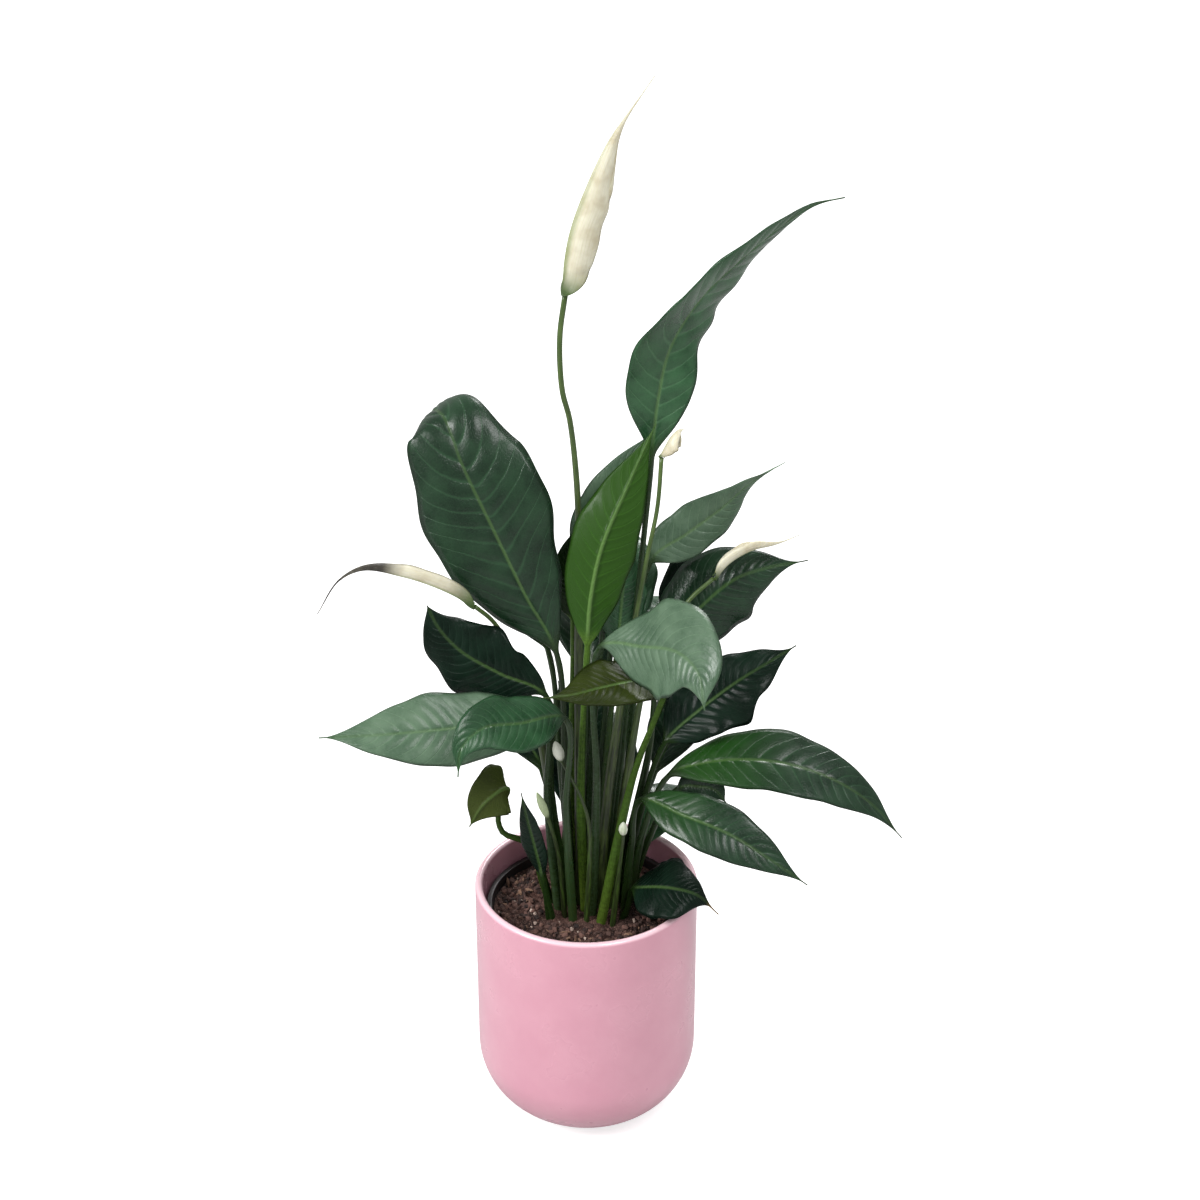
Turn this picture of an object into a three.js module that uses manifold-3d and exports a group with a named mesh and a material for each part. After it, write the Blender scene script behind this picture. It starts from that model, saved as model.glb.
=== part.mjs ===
// Potted peace lily: a glazed cover pot, a nursery pot with soil inside it, and the plant.
// Millimetres, +Z up. The origin is the centre of the pot's flat base, on the surface it stands on.
// The plant's broad front, with its two drooping leaves, faces -Y.
import * as THREE from "three";
import Module from "manifold-3d";
import { mergeVertices } from "three/addons/utils/BufferGeometryUtils.js";

// ---------- Driving sizes ----------
const GAP = 0.35; // clear space left between neighbouring pieces

const POT = {
  radius: 65,
  height: 155,
  wall: 4.5,
  floor: 6,
  cornerRadius: 44, // rounding between wall and base, outside
  innerCornerRadius: 40,
  segments: 40,
};

const NURSERY_POT = {
  rimRadius: 58.5,
  rimHeight: 6,
  wallRadiusTop: 56.5,
  wallRadiusFoot: 44,
  wall: 1.2,
  bottomZ: 14.4, // where its foot rests in the rounded floor of the cover pot
  topZ: 140,
  drainHoles: 6,
  drainRadius: 4,
  drainCircle: 28,
  segments: 36,
};

const SOIL = { edgeZ: 135.5, crownZ: 140, segments: 36 };

const STEM = { plantedZ: 126, footRadius: 2.8, neckRadius: 1.6, taperFrom: 0.25, taperOver: 0.6 };
const BLADE = { halfThickness: 0.6, thinEnd: 0.12 };
const SPADIX = { footShare: 0.35 }; // its thin foot, as a share of its full radius
const SPATHE = { sections: 12, sides: 12, footBack: 0.9 };
const SIDES = 8; // corners round each leaf section
const STALK_SECTIONS = 6;
const BLADE_SECTIONS = 10;
const PATH_STEPS = 24; // steps of the smooth path between two given points

// ---------- The leaves ----------
// stalk: points from just above the soil to the neck where the blade starts.
// blade: points along the midrib to the tip. faces: the way the upper side looks.
// width: widest part of the blade. widest: how far along the blade that is, 0 to 1.
// base and taper: how slim the blade stays near its neck and near its tip.
// twist, fold and cup: degrees, evenly spread from neck to tip. Fold lifts the two halves,
// a negative cup lets their outer parts fall. wave: height, count and start of the margin waves.
// finish: which green, where it is not the deep one.
const LEAVES = [
  {
    name: "leaf_tall_right", foot: [9.5, 0], finish: "green",
    stalk: [[20, 16, 230], [33, 22, 378], [36, 24, 414]],
    blade: [[39, 22, 449], [45, 20, 480], [60, 22, 506], [80, 28, 525], [99, 36, 539], [118, 42, 551], [136, 44, 555]],
    width: 42, faces: [-0.15, -1, 0.3], twist: [0, 15, 60, 65, 50], fold: [15, 5, 0], cup: [-12, -5],
    wave: [0.1, 2, 0.5], widest: 0.38, base: 0.9, sections: 16,
  },
  {
    name: "leaf_tall_mid", foot: [-0.2, -5.6], finish: "young",
    stalk: [[-3, -7, 220], [1, -9, 316]],
    blade: [[3, -8, 346], [9, -3, 374], [23, 7, 406], [38, 17, 438]],
    width: 38, faces: [0.1, 1, -0.3], fold: [12, 8], cup: [12, 10], wave: [0.06, 2, 0],
  },
  {
    name: "leaf_tall_back", foot: [-0.2, 5.6], finish: "sage",
    stalk: [[3, 22, 230], [10, 29, 321]],
    blade: [[7, 33, 350], [12, 39, 378], [26, 45, 405], [38, 50, 420]],
    width: 34, faces: [0.15, -1, 0.3], twist: [0, -15], wave: [0.06, 2, 0],
  },
  {
    name: "leaf_big_left", foot: [-8.3, 6.5],
    stalk: [[-12, 6, 220], [-16, 3, 304]],
    blade: [[-33, 2, 342], [-50, 5, 381], [-66, 13, 415], [-76, 27, 437], [-84, 44, 433], [-88, 55, 412]],
    width: 70, faces: [0.05, -1, 0.3], fold: [14, 10, 5], cup: [-20, -22], wave: [0.1, 2.2, 1], widest: 0.5,
  },
  {
    name: "leaf_left_mid", foot: [-10, 0], finish: "dark",
    stalk: [[-20, -7, 220], [-22, -15, 288]],
    blade: [[-47, -18, 304], [-68, -18, 318], [-80, -15, 331], [-86, -12, 343]],
    width: 42, faces: [0, -0.9, 0.5], fold: [12, 5], wave: [0.15, 3.2, 0.6], widest: 0.5, taper: 0.35,
  },
  {
    name: "leaf_left_low", foot: [-15.3, -6.7], finish: "sage",
    stalk: [[-22, -15, 220], [-24, -27, 282]],
    blade: [[-47, -35, 283], [-79, -43, 283], [-112, -47, 282], [-145, -45, 279]],
    width: 42, faces: [-0.1, -0.5, 0.85], fold: [8, 12], cup: [-12, -20], wave: [0.06, 2.3, 0.2],
  },
  {
    name: "leaf_front_left", foot: [-6.8, -16.9], finish: "green",
    stalk: [[-11, -26, 220], [-11, -38, 287]],
    blade: [[-35, -58, 296], [-55, -74, 302], [-65, -84, 296], [-67, -88, 281]],
    width: 33, faces: [-0.3, -0.5, 0.85], fold: [8, 15], cup: [-10, -20], wave: [0.05, 2, 0],
  },
  {
    name: "leaf_front_centre", foot: [6.4, -19.2], finish: "olive",
    stalk: [[26, -26, 240], [44, -30, 309]],
    blade: [[29, -46, 316], [8, -60, 319], [-8, -68, 319], [-22, -72, 320]],
    width: 38, faces: [0, -0.3, 0.95], fold: [8, 8], cup: [-8, -8], wave: [0.05, 2, 0.5],
  },
  {
    name: "leaf_front_right", foot: [3, -13], finish: "sage",
    stalk: [[6, -18, 230], [8, -30, 327]],
    blade: [[31, -49, 338], [49, -68, 345], [59, -83, 341], [62, -95, 326]],
    width: 54, faces: [0.35, -0.45, 0.85], fold: [0, 6], cup: [-8, -20], wave: [0.04, 2, 0], widest: 0.55,
  },
  {
    name: "leaf_right_dark", foot: [16, 0], finish: "dark",
    stalk: [[30, 8, 190], [45, 10, 242]],
    blade: [[65, 14, 262], [86, 18, 278], [102, 22, 287], [119, 24, 298]],
    width: 42, faces: [-0.35, -0.7, 0.6], fold: [12, 10], wave: [0.16, 3, 2],
  },
  {
    name: "leaf_upper_right", foot: [9.5, 11.3], finish: "sage",
    stalk: [[26, 24, 250], [36, 34, 346]],
    blade: [[57, 38, 362], [76, 42, 376], [91, 46, 389], [111, 50, 400]],
    width: 28, faces: [-0.2, -0.8, 0.55], twist: [0, 10, 60, 80], fold: [10, 5], wave: [0.05, 2, 0.5],
    widest: 0.33, taper: 1.6,
  },
  {
    name: "leaf_right_mid", foot: [14.3, 6.5],
    stalk: [[36, 18, 230], [44, 22, 299]],
    blade: [[63, 26, 320], [83, 28, 338], [100, 30, 344], [124, 30, 349]],
    width: 52, faces: [0, -0.75, 0.65], fold: [-12, -15], cup: [-25, -20], wave: [0.06, 2, 0.5], widest: 0.38,
    taper: 1.5,
  },
  {
    name: "leaf_back_right", foot: [12.8, 16.9], finish: "dark",
    stalk: [[26, 34, 200], [54, 46, 276]],
    blade: [[60, 54, 305], [64, 60, 328], [67, 72, 330], [71, 84, 309]],
    width: 38, faces: [0, -1, 0.3],
  },
  {
    name: "leaf_centre_back", foot: [6.2, 5.6], finish: "green",
    stalk: [[12, 16, 230], [18, 23, 298]],
    blade: [[20, 25, 324], [22, 27, 345], [24, 31, 363]],
    width: 28, faces: [0.1, -1, 0.2], twist: [0, 0],
  },
  {
    name: "leaf_tip_mid", foot: [-3.5, 11.3], finish: "young",
    stalk: [[-8, 18, 230], [-7, 21, 316]],
    blade: [[-8, 22, 339], [-8, 25, 356], [-6, 29, 371]],
    width: 24, faces: [-0.1, -1, 0.2], cup: [-8, -8],
  },
  {
    name: "leaf_right_low", foot: [22.5, 0],
    stalk: [[33, -2, 190], [47, 0, 226]],
    blade: [[68, -3, 237], [93, -8, 242], [116, -12, 241], [139, -16, 234], [161, -18, 219], [180, -18, 196]],
    width: 40, faces: [0, -0.3, 1], fold: [5, 10], cup: [-10, -15], wave: [0.05, 2.5, 0],
  },
  {
    name: "leaf_right_front", foot: [21.3, -6.7],
    stalk: [[26, -16, 190], [31, -20, 223]],
    blade: [[55, -38, 224], [79, -50, 220], [101, -58, 209], [123, -62, 194]],
    width: 31, faces: [0.1, -0.5, 0.85], fold: [8, 10], cup: [-14, -14], wave: [0.05, 2.5, 1],
  },
  {
    name: "leaf_right_small", foot: [21.3, 6.7],
    stalk: [[36, 4, 180], [53, 3, 216]],
    blade: [[65, 0, 219], [74, -4, 219], [80, -8, 213]],
    width: 22, faces: [0.2, -0.7, 0.6],
  },
  {
    name: "leaf_left_small", foot: [-17.5, 0.5], finish: "olive",
    stalk: [[-24, -4, 152], [-32, -10, 186], [-40, -14, 193], [-47, -15, 197], [-50, -16, 208], [-46, -18, 222]],
    blade: [[-44, -23, 232], [-48, -31, 236], [-57, -36, 230], [-65, -37, 216]],
    width: 30, faces: [-0.2, -0.4, 0.9],
  },
  {
    name: "leaf_pot_right", foot: [17.9, -12.5], finish: "dark",
    stalk: [[24, -17, 148], [27, -18, 160]],
    blade: [[37, -25, 167], [50, -31, 170], [63, -33, 167], [76, -31, 152]],
    width: 40, faces: [0, -0.3, 1], fold: [-4, -4], cup: [-8, -8], widest: 0.38, taper: 3.5,
  },
  // Leaves of the far side.
  {
    name: "leaf_rear_high_left", foot: [-6.8, 16.9],
    stalk: [[-15, 26, 220], [-22, 35, 290]],
    blade: [[-42, 62, 318], [-60, 90, 328], [-72, 118, 316]],
    width: 44, faces: [0.2, -0.2, 1], wave: [0.06, 2, 1],
  },
  {
    name: "leaf_rear_high", foot: [3, 13], finish: "green",
    stalk: [[9, 28, 220], [14, 40, 285]],
    blade: [[19, 62, 318], [22, 86, 334], [22, 110, 330]],
    width: 42, faces: [0, -0.6, 0.8], wave: [0.06, 2, 2],
  },
  {
    name: "leaf_rear_centre", foot: [-0.4, 19.2],
    stalk: [[1, 28, 210], [2, 38, 268]],
    blade: [[3, 66, 296], [4, 102, 294], [4, 142, 262]],
    width: 50, faces: [0, -0.3, 1], wave: [0.06, 2.4, 0],
  },
  {
    name: "leaf_rear_high_right", foot: [6.4, 19.2], finish: "green",
    stalk: [[18, 31, 200], [26, 43, 252]],
    blade: [[37, 72, 278], [47, 106, 284], [54, 142, 260]],
    width: 44, faces: [-0.2, -0.3, 1], wave: [0.06, 2, 0.6],
  },
  {
    name: "leaf_rear_low_left", foot: [-11.9, 12.5], finish: "dark",
    stalk: [[-18, 18, 170], [-26, 26, 214]],
    blade: [[-45, 58, 230], [-62, 96, 222], [-74, 134, 188]],
    width: 44, faces: [0.2, -0.2, 1], wave: [0.06, 2.2, 1.4],
  },
  {
    name: "leaf_rear_low_right", foot: [17.9, 12.5],
    stalk: [[28, 19, 175], [40, 26, 212]],
    blade: [[58, 54, 236], [73, 88, 240], [86, 122, 222]],
    width: 42, faces: [-0.2, -0.3, 1], wave: [0.06, 2.2, 2.2],
  },
  {
    name: "leaf_rear_low", foot: [5.5, 25],
    stalk: [[6, 30, 160], [6, 37, 188]],
    blade: [[8, 70, 208], [8, 108, 202], [6, 148, 166]],
    width: 42, faces: [0, -0.2, 1], wave: [0.06, 2.2, 0.2],
  },
  {
    name: "leaf_rear_pot_right", foot: [26.5, 11], finish: "green",
    stalk: [[29, 14, 145], [33, 21, 164]],
    blade: [[46, 42, 178], [62, 62, 174], [74, 82, 150]],
    width: 32, faces: [0, -0.2, 1], wave: [0.06, 2.2, 0.2],
  },
  // Short upright leaves low in the clump.
  {
    name: "leaf_inner_left", foot: [-19, -14], finish: "dark",
    stalk: [[-22, -19, 150], [-25, -22, 172]],
    blade: [[-29, -26, 196], [-33, -30, 218], [-36, -33, 236]],
    width: 14, faces: [-0.3, -0.9, 0.3], fold: [18, 10],
  },
  {
    name: "leaf_inner_rear_left", foot: [-13, 19.5], finish: "dark",
    stalk: [[-13, 26, 160], [-12, 30, 185]],
    blade: [[-12, 35, 214], [-14, 39, 242], [-16, 43, 264]],
    width: 23, faces: [0, -1, 0.3], fold: [15, 10],
  },
  {
    name: "leaf_inner_rear_right", foot: [17, 23], finish: "green",
    stalk: [[20, 32, 160], [20, 36, 184]],
    blade: [[20, 41, 210], [20, 44, 230], [20, 47, 248]],
    width: 20, faces: [0, -1, 0.3], fold: [15, 10],
  },
  {
    name: "leaf_inner_rear", foot: [-6, 25],
    stalk: [[-4, 36, 170], [-2, 42, 205]],
    blade: [[0, 47, 234], [2, 51, 260], [3, 55, 280]],
    width: 30, faces: [0, -1, 0.3], fold: [15, 10],
  },
];

// ---------- The flowers ----------
// Each has a stalk, a hood (the pale spathe) and a spike (the spadix) inside the hood.
// hood.faces is the open side. A large cup rolls the hood round the spike.
const FLOWERS = [
  {
    name: "flower_tall", foot: [-3.5, 0], neck: 1.5,
    stalk: [[-4, 16, 300], [-4, 17, 389], [-8, 13, 441], [-12, 9, 461], [-13, 7, 491], [-10, 4, 516]],
    hood: {
      blade: [[-10, 1, 534], [-7, 1, 551], [0, 3, 571], [12, 6, 596], [26, 8, 616], [35, 10, 629]],
      faces: [0.95, 0.3, 0], width: 38, widest: 0.3, taper: 3.6, fold: [30, 40, 30], cup: [90, 115, 100],
      wave: [0.02, 2, 0], neck: 1.3,
    },
    spadix: { radius: 2.5, end: 46, out: 6 },
  },
  {
    name: "flower_small", foot: [6.2, -5.6], neck: 1.2,
    stalk: [[14, -2, 230], [33, 3, 361], [39, 8, 392], [41, 10, 421]],
    hood: {
      blade: [[43, 11, 427], [46, 11, 433], [50, 11, 437], [53, 12, 437]],
      faces: [0.9, -0.2, 0.3], width: 16, widest: 0.45, taper: 0.4, fold: [30, 30], cup: [80, 90],
      wave: [0.03, 2, 0], neck: 1.1,
    },
    spadix: { radius: 0.8, end: 9, out: 2.7 },
  },
  {
    name: "flower_left", foot: [-15.3, 6.7], neck: 1.2,
    stalk: [[-22, 8, 220], [-37, 3, 296], [-50, -6, 329], [-60, -13, 343]],
    hood: {
      blade: [[-69, -17, 351], [-82, -21, 360], [-97, -24, 367], [-118, -28, 373], [-131, -31, 368], [-143, -33, 349]],
      faces: [0, 0.5, 0.85], width: 16, widest: 0.27, taper: 4, fold: [20, 20, 10], cup: [70, 80, 60],
      wave: [0.03, 2, 0], neck: 1.2,
    },
    spadix: { radius: 1.2, end: 25, out: 2.9 },
  },
  {
    name: "flower_right", foot: [14.3, -6.5], neck: 1.2,
    stalk: [[24, 0, 230], [40, 8, 308], [58, 14, 333], [71, 18, 344]],
    hood: {
      blade: [[79, 20, 352], [91, 24, 358], [105, 28, 360], [119, 30, 365]],
      faces: [-0.2, 0.3, 0.95], width: 13, widest: 0.33, taper: 2.5, fold: [20, 20, 10], cup: [70, 80, 60],
      wave: [0.03, 2, 0], neck: 1.1,
    },
    spadix: { radius: 0.9, end: 16, out: 2.4 },
  },
];

// ---------- The buds ----------
const BUDS = [
  {
    name: "bud_front", foot: [-0.4, -19.2], neck: 0.9, footRadius: 1.7, headLength: 13, headRadius: 3.2,
    stalk: [[2, -22, 204], [-2, -24, 225], [-13, -26, 252], [-17, -26, 265]],
  },
  {
    name: "bud_left", foot: [-11.9, -12.5], neck: 1, footRadius: 1.7, headLength: 22, headRadius: 2.4,
    stalk: [[-15, -20, 180], [-20, -29, 212], [-27, -36, 238]],
  },
  {
    name: "bud_right", foot: [14.5, -18.5], neck: 0.9, footRadius: 1.7, headLength: 9, headRadius: 2.6,
    stalk: [[19, -27, 180], [21, -33, 206], [21, -34, 217]],
  },
];

// ---------- Small helpers ----------
const vec = (p) => new THREE.Vector3(...p);

/** Value at t of numbers spread evenly from 0 to 1. */
function spread(values, t) {
  const last = values.length - 1;
  if (last === 0) return values[0];
  const at = Math.min(Math.max(t, 0), 1) * last;
  const i = Math.min(Math.floor(at), last - 1);
  return values[i] + (values[i + 1] - values[i]) * (at - i);
}

/** Rises smoothly from 0 to 1 while x goes from 0 to 1. */
function ease(x) {
  const c = Math.min(Math.max(x, 0), 1);
  return c * c * (3 - 2 * c);
}

/** A smooth path with a direction and a carried side at every step. */
function makePath(points, fixedIndex, faces) {
  const curve = new THREE.CatmullRomCurve3(points.map(vec), false, "centripetal");
  const count = (points.length - 1) * PATH_STEPS;
  const places = [];
  for (let i = 0; i <= count; i++) places.push(curve.getPoint(i / count));
  const lengths = [0];
  for (let i = 1; i <= count; i++) lengths.push(lengths[i - 1] + places[i].distanceTo(places[i - 1]));
  const along = places.map((_, i) => {
    const a = places[Math.max(i - 1, 0)];
    const b = places[Math.min(i + 1, count)];
    return b.clone().sub(a).normalize();
  });
  // The way the upper side looks is set at the neck and carried both ways without turning.
  const ups = [];
  const fixed = fixedIndex * PATH_STEPS;
  const settle = (up, i) => up.clone().addScaledVector(along[i], -up.dot(along[i])).normalize();
  ups[fixed] = settle(vec(faces), fixed);
  for (let i = fixed + 1; i <= count; i++) ups[i] = settle(ups[i - 1], i);
  for (let i = fixed - 1; i >= 0; i--) ups[i] = settle(ups[i + 1], i);
  return { places, lengths, along, ups, neck: lengths[fixed], end: lengths[count] };
}

/** Place, direction and upper side at a length along the path. */
function pathAt(path, s) {
  const { lengths } = path;
  let i = lengths.findIndex((value) => value >= s);
  if (i === -1) i = lengths.length - 1;
  i = Math.max(i, 1);
  const part = (s - lengths[i - 1]) / (lengths[i] - lengths[i - 1]);
  const mix = (list) => list[i - 1].clone().lerp(list[i], part);
  const along = mix(path.along).normalize();
  const raw = mix(path.ups);
  const up = raw.addScaledVector(along, -raw.dot(along)).normalize();
  return { place: mix(path.places), along, up };
}

/**
 * Skin over a row of rings, each a closed loop of points, with both ends capped by fans. The second
 * half of each loop is cut along the other diagonal, so that the two sides of a blade stay parallel.
 */
function skin(rings) {
  const sides = rings[0].length;
  const positions = rings.flat().flatMap((p) => [p.x, p.y, p.z]);
  const faces = [];
  for (let i = 0; i + 1 < rings.length; i++) {
    for (let j = 0; j < sides; j++) {
      const a = i * sides + j;
      const b = i * sides + ((j + 1) % sides);
      if (j < sides / 2) faces.push(a, b, b + sides, a, b + sides, a + sides);
      else faces.push(a, b, a + sides, b, b + sides, a + sides);
    }
  }
  const top = (rings.length - 1) * sides;
  for (let j = 1; j + 1 < sides; j++) {
    faces.push(0, j + 1, j);
    faces.push(top, top + j, top + j + 1);
  }
  const geometry = new THREE.BufferGeometry();
  geometry.setAttribute("position", new THREE.Float32BufferAttribute(positions, 3));
  geometry.setIndex(faces);
  return geometry;
}

/** A round ring about a place on the path. */
function roundRing(path, s, radius, sides) {
  const { place, along, up } = pathAt(path, s);
  const side = along.clone().cross(up);
  const ring = [];
  for (let j = 0; j < sides; j++) {
    const angle = (2 * Math.PI * j) / sides;
    const p = place.clone().addScaledVector(side, -radius * Math.cos(angle));
    ring.push(p.addScaledVector(up, radius * Math.sin(angle)));
  }
  return ring;
}

/** How wide a blade is at t, as a share of its widest: slim base, one belly, drawn-out tip. */
function bladeOutline(t, widest, base, taper) {
  const bend = Math.log(0.5) / Math.log(widest);
  return Math.sin(Math.PI * t ** bend) ** (0.8 + base * (1 - t) ** 4 + taper * t ** 3);
}

/**
 * One section of a blade. It is an ellipse whose long axis is bent: fold tips each half up from the
 * midrib, cup bends it further outwards, and a wave lifts and drops the margins.
 */
function bladeRing(path, s, t, leaf, sides) {
  const { place, along, up } = pathAt(path, s);
  const turn = THREE.MathUtils.degToRad(spread(leaf.twist ?? [0], t));
  up.applyAxisAngle(along, turn);
  const side = along.clone().cross(up);
  const open = ease(t / BLADE.thinEnd);
  const stalk = leaf.neck * (1 - t) ** 0.7;
  const half = (leaf.width / 2) * bladeOutline(t, leaf.widest ?? 0.42, leaf.base ?? 0.35, leaf.taper ?? 0.9);
  const across = Math.max(Math.hypot(stalk, half), 0.4);
  const thin = BLADE.halfThickness * Math.min(Math.max((1 - t) / 0.12, 0.4), 1);
  const thick = THREE.MathUtils.lerp(stalk, thin, open);
  const fold = THREE.MathUtils.degToRad(spread(leaf.fold ?? [15, 10], t)) * open;
  const cup = THREE.MathUtils.degToRad(spread(leaf.cup ?? [-20, -20], t)) * open || 0.001;
  const [height, count, start] = leaf.wave ?? [0.08, 2.5, 0];
  const wavy = height * Math.sqrt(Math.sin(Math.PI * t)) * open;
  const ring = [];
  for (let j = 0; j < sides; j++) {
    const angle = (2 * Math.PI * j) / sides;
    const u = -Math.cos(angle);
    const v = Math.sin(angle);
    const hand = Math.sign(u);
    const lean = fold + cup * Math.abs(u);
    const sideways = ((Math.sin(lean) - Math.sin(fold)) / cup) * hand;
    const raised = (Math.cos(fold) - Math.cos(lean)) / cup;
    const wave = wavy * u * u * Math.sin(2 * Math.PI * count * t + start + (hand > 0 ? 0 : 2.1));
    const tilt = lean * open;
    const p = place.clone();
    p.addScaledVector(side, across * sideways - thick * v * hand * Math.sin(tilt));
    p.addScaledVector(up, across * (raised + wave) + thick * v * Math.cos(tilt));
    ring.push(p);
  }
  return ring;
}

/** Lengths of the blade sections, closer together towards both ends. */
function bladeStops(count) {
  return Array.from({ length: count + 1 }, (_, i) => {
    const x = i / count;
    return x - 0.03 * Math.sin(2 * Math.PI * x);
  });
}

/** Radius of a stem: a stout sheath low down, slimmer up to the neck. */
function stemRadius(stem, share) {
  return THREE.MathUtils.lerp(stem.footRadius, stem.neck, ease((share - STEM.taperFrom) / STEM.taperOver));
}

/** A whole leaf, stalk and blade grown as one. */
function leafBody(leaf) {
  const path = leaf.path;
  const rings = [];
  for (let i = 0; i < STALK_SECTIONS; i++) {
    const share = i / STALK_SECTIONS;
    rings.push(roundRing(path, share * path.neck, stemRadius(leaf, share), SIDES));
  }
  for (const t of bladeStops(leaf.sections ?? BLADE_SECTIONS)) {
    const s = path.neck + t * (path.end - path.neck);
    rings.push(bladeRing(path, s, t, leaf, SIDES));
  }
  return skin(rings);
}

/** A flower stalk, round from the soil to its top. */
function stalkBody(stem) {
  const { path } = stem;
  const count = stem.sections ?? 9;
  const rings = [];
  for (let i = 0; i <= count; i++) {
    const share = i / count;
    rings.push(roundRing(path, share * path.end, stemRadius(stem, share), SIDES));
  }
  return skin(rings);
}

/** The hood round a flower: a rolled blade that starts beside the top of the stalk. */
function spatheBody(flower) {
  const path = flower.hoodPath;
  const rings = bladeStops(SPATHE.sections).map((t) => bladeRing(path, t * path.end, t, flower.hood, SPATHE.sides));
  return skin(rings);
}

/** The flower spike: a short thin foot, then a blunt finger. */
function spadixBody(flower) {
  const { spadix, hoodPath } = flower;
  const footOut = flower.hood.neck + SPADIX.footShare * spadix.radius + 2 * GAP;
  const offset = (s) => {
    const { place, up } = pathAt(hoodPath, s);
    const out = THREE.MathUtils.lerp(footOut, spadix.out, ease((s - 1) / 8));
    return place.addScaledVector(up, out).toArray();
  };
  const points = [1, 3, 7, 12, 18].filter((s) => s < spadix.end - 4).map(offset);
  points.push(offset(spadix.end));
  const path = makePath(points, 0, flower.hood.faces);
  const shape = [[0, SPADIX.footShare], [0.16, 0.4], [0.24, 0.85], [0.34, 1], [0.8, 0.92], [0.93, 0.66], [1, 0.25]];
  return skin(shape.map(([share, size]) => roundRing(path, share * path.end, size * spadix.radius, SIDES)));
}

/** A young bud: a thin stalk that swells into a pointed head, grown as one. */
function budBody(bud) {
  const { path } = bud;
  const neck = path.end - bud.headLength;
  const rings = [0, 0.25, 0.5, 0.75, 1].map((share) => {
    return roundRing(path, share * neck, stemRadius(bud, share), SIDES);
  });
  for (const [share, size] of [[0.22, 0.8], [0.45, 1], [0.7, 0.85], [0.9, 0.45], [1, 0.12]]) {
    const radius = Math.max(size * bud.headRadius, 0.3);
    rings.push(roundRing(path, neck + share * bud.headLength, radius, SIDES));
  }
  return skin(rings);
}

/** A turned body from a closed outline of [radius, height] points, given from the axis outwards. */
function turned(outline, segments) {
  const points = outline.map(([r, z]) => new THREE.Vector2(r, z));
  const geometry = new THREE.LatheGeometry(points, segments);
  geometry.rotateX(Math.PI / 2);
  return geometry;
}

/** Points of an arc about [r, z], from one angle to another, in degrees. */
function arc(r, z, radius, from, to, steps) {
  return Array.from({ length: steps + 1 }, (_, i) => {
    const angle = THREE.MathUtils.degToRad(from + ((to - from) * i) / steps);
    return [r + radius * Math.cos(angle), z + radius * Math.sin(angle)];
  });
}

/** The cover pot: straight wall, wide rounding into a flat base, soft rim. */
function potBody() {
  const { radius, height, wall, floor, cornerRadius, innerCornerRadius, segments } = POT;
  const inside = radius - wall;
  const lip = wall / 2;
  return turned([
    [0, 0],
    ...arc(radius - cornerRadius, cornerRadius, cornerRadius, -90, 0, 7),
    ...arc(radius - lip, height - lip, lip, 0, 180, 4),
    ...arc(inside - innerCornerRadius, floor + innerCornerRadius, innerCornerRadius, 0, -90, 5),
    [0, floor],
  ], segments);
}

/** Radius of the nursery pot's outer wall at a height. */
function nurseryRadius(z) {
  const { wallRadiusTop, wallRadiusFoot, topZ, bottomZ } = NURSERY_POT;
  return THREE.MathUtils.lerp(wallRadiusFoot, wallRadiusTop, (z - bottomZ) / (topZ - bottomZ));
}

/** The thin plastic nursery pot, with a turned-out rim and holes in its floor. */
function nurseryBody(kernel) {
  const { rimRadius, rimHeight, wall, bottomZ, topZ, segments } = NURSERY_POT;
  const rimZ = topZ - rimHeight;
  const cup = turned([
    [0, bottomZ],
    [nurseryRadius(bottomZ) - 2, bottomZ],
    [nurseryRadius(bottomZ), bottomZ + 2],
    [nurseryRadius(rimZ), rimZ],
    [rimRadius, rimZ + 0.8],
    [rimRadius, topZ - 0.6],
    [rimRadius - 0.6, topZ],
    [nurseryRadius(topZ) - wall, topZ],
    [nurseryRadius(bottomZ + 3) - wall, bottomZ + 3],
    [nurseryRadius(bottomZ) - 3, bottomZ + wall],
    [0, bottomZ + wall],
  ], segments);
  const { drainHoles, drainRadius, drainCircle } = NURSERY_POT;
  const holes = Array.from({ length: drainHoles }, (_, i) => {
    const hole = turned([[0, -5], [drainRadius, -5], [drainRadius, 5], [0, 5]], 12);
    const angle = (2 * Math.PI * i) / drainHoles;
    return hole.translate(drainCircle * Math.cos(angle), drainCircle * Math.sin(angle), bottomZ);
  });
  return kernel.cut(cup, holes);
}

/** The soil, a plug that fills the nursery pot, with a snug hole round each planted stem. */
function soilBody(kernel, stems) {
  const { edgeZ, crownZ, segments } = SOIL;
  const inner = (z) => nurseryRadius(z) - NURSERY_POT.wall - GAP;
  const low = NURSERY_POT.bottomZ + NURSERY_POT.wall + GAP;
  const plug = turned([
    [0, low],
    [inner(low) - 3.5, low],
    [inner(low + 3) - 0.3, low + 3],
    [inner(edgeZ), edgeZ],
    [0.8 * inner(edgeZ), THREE.MathUtils.lerp(edgeZ, crownZ, 0.35)],
    [0.55 * inner(edgeZ), THREE.MathUtils.lerp(edgeZ, crownZ, 0.85)],
    [0, crownZ],
  ], segments);
  const holes = stems.map((stem) => {
    const rings = [-GAP, 17].map((s) => roundRing(stem.path, s, stem.footRadius + 1.3 * GAP, SIDES));
    return skin(rings);
  });
  return kernel.cut(plug, holes);
}

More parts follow.
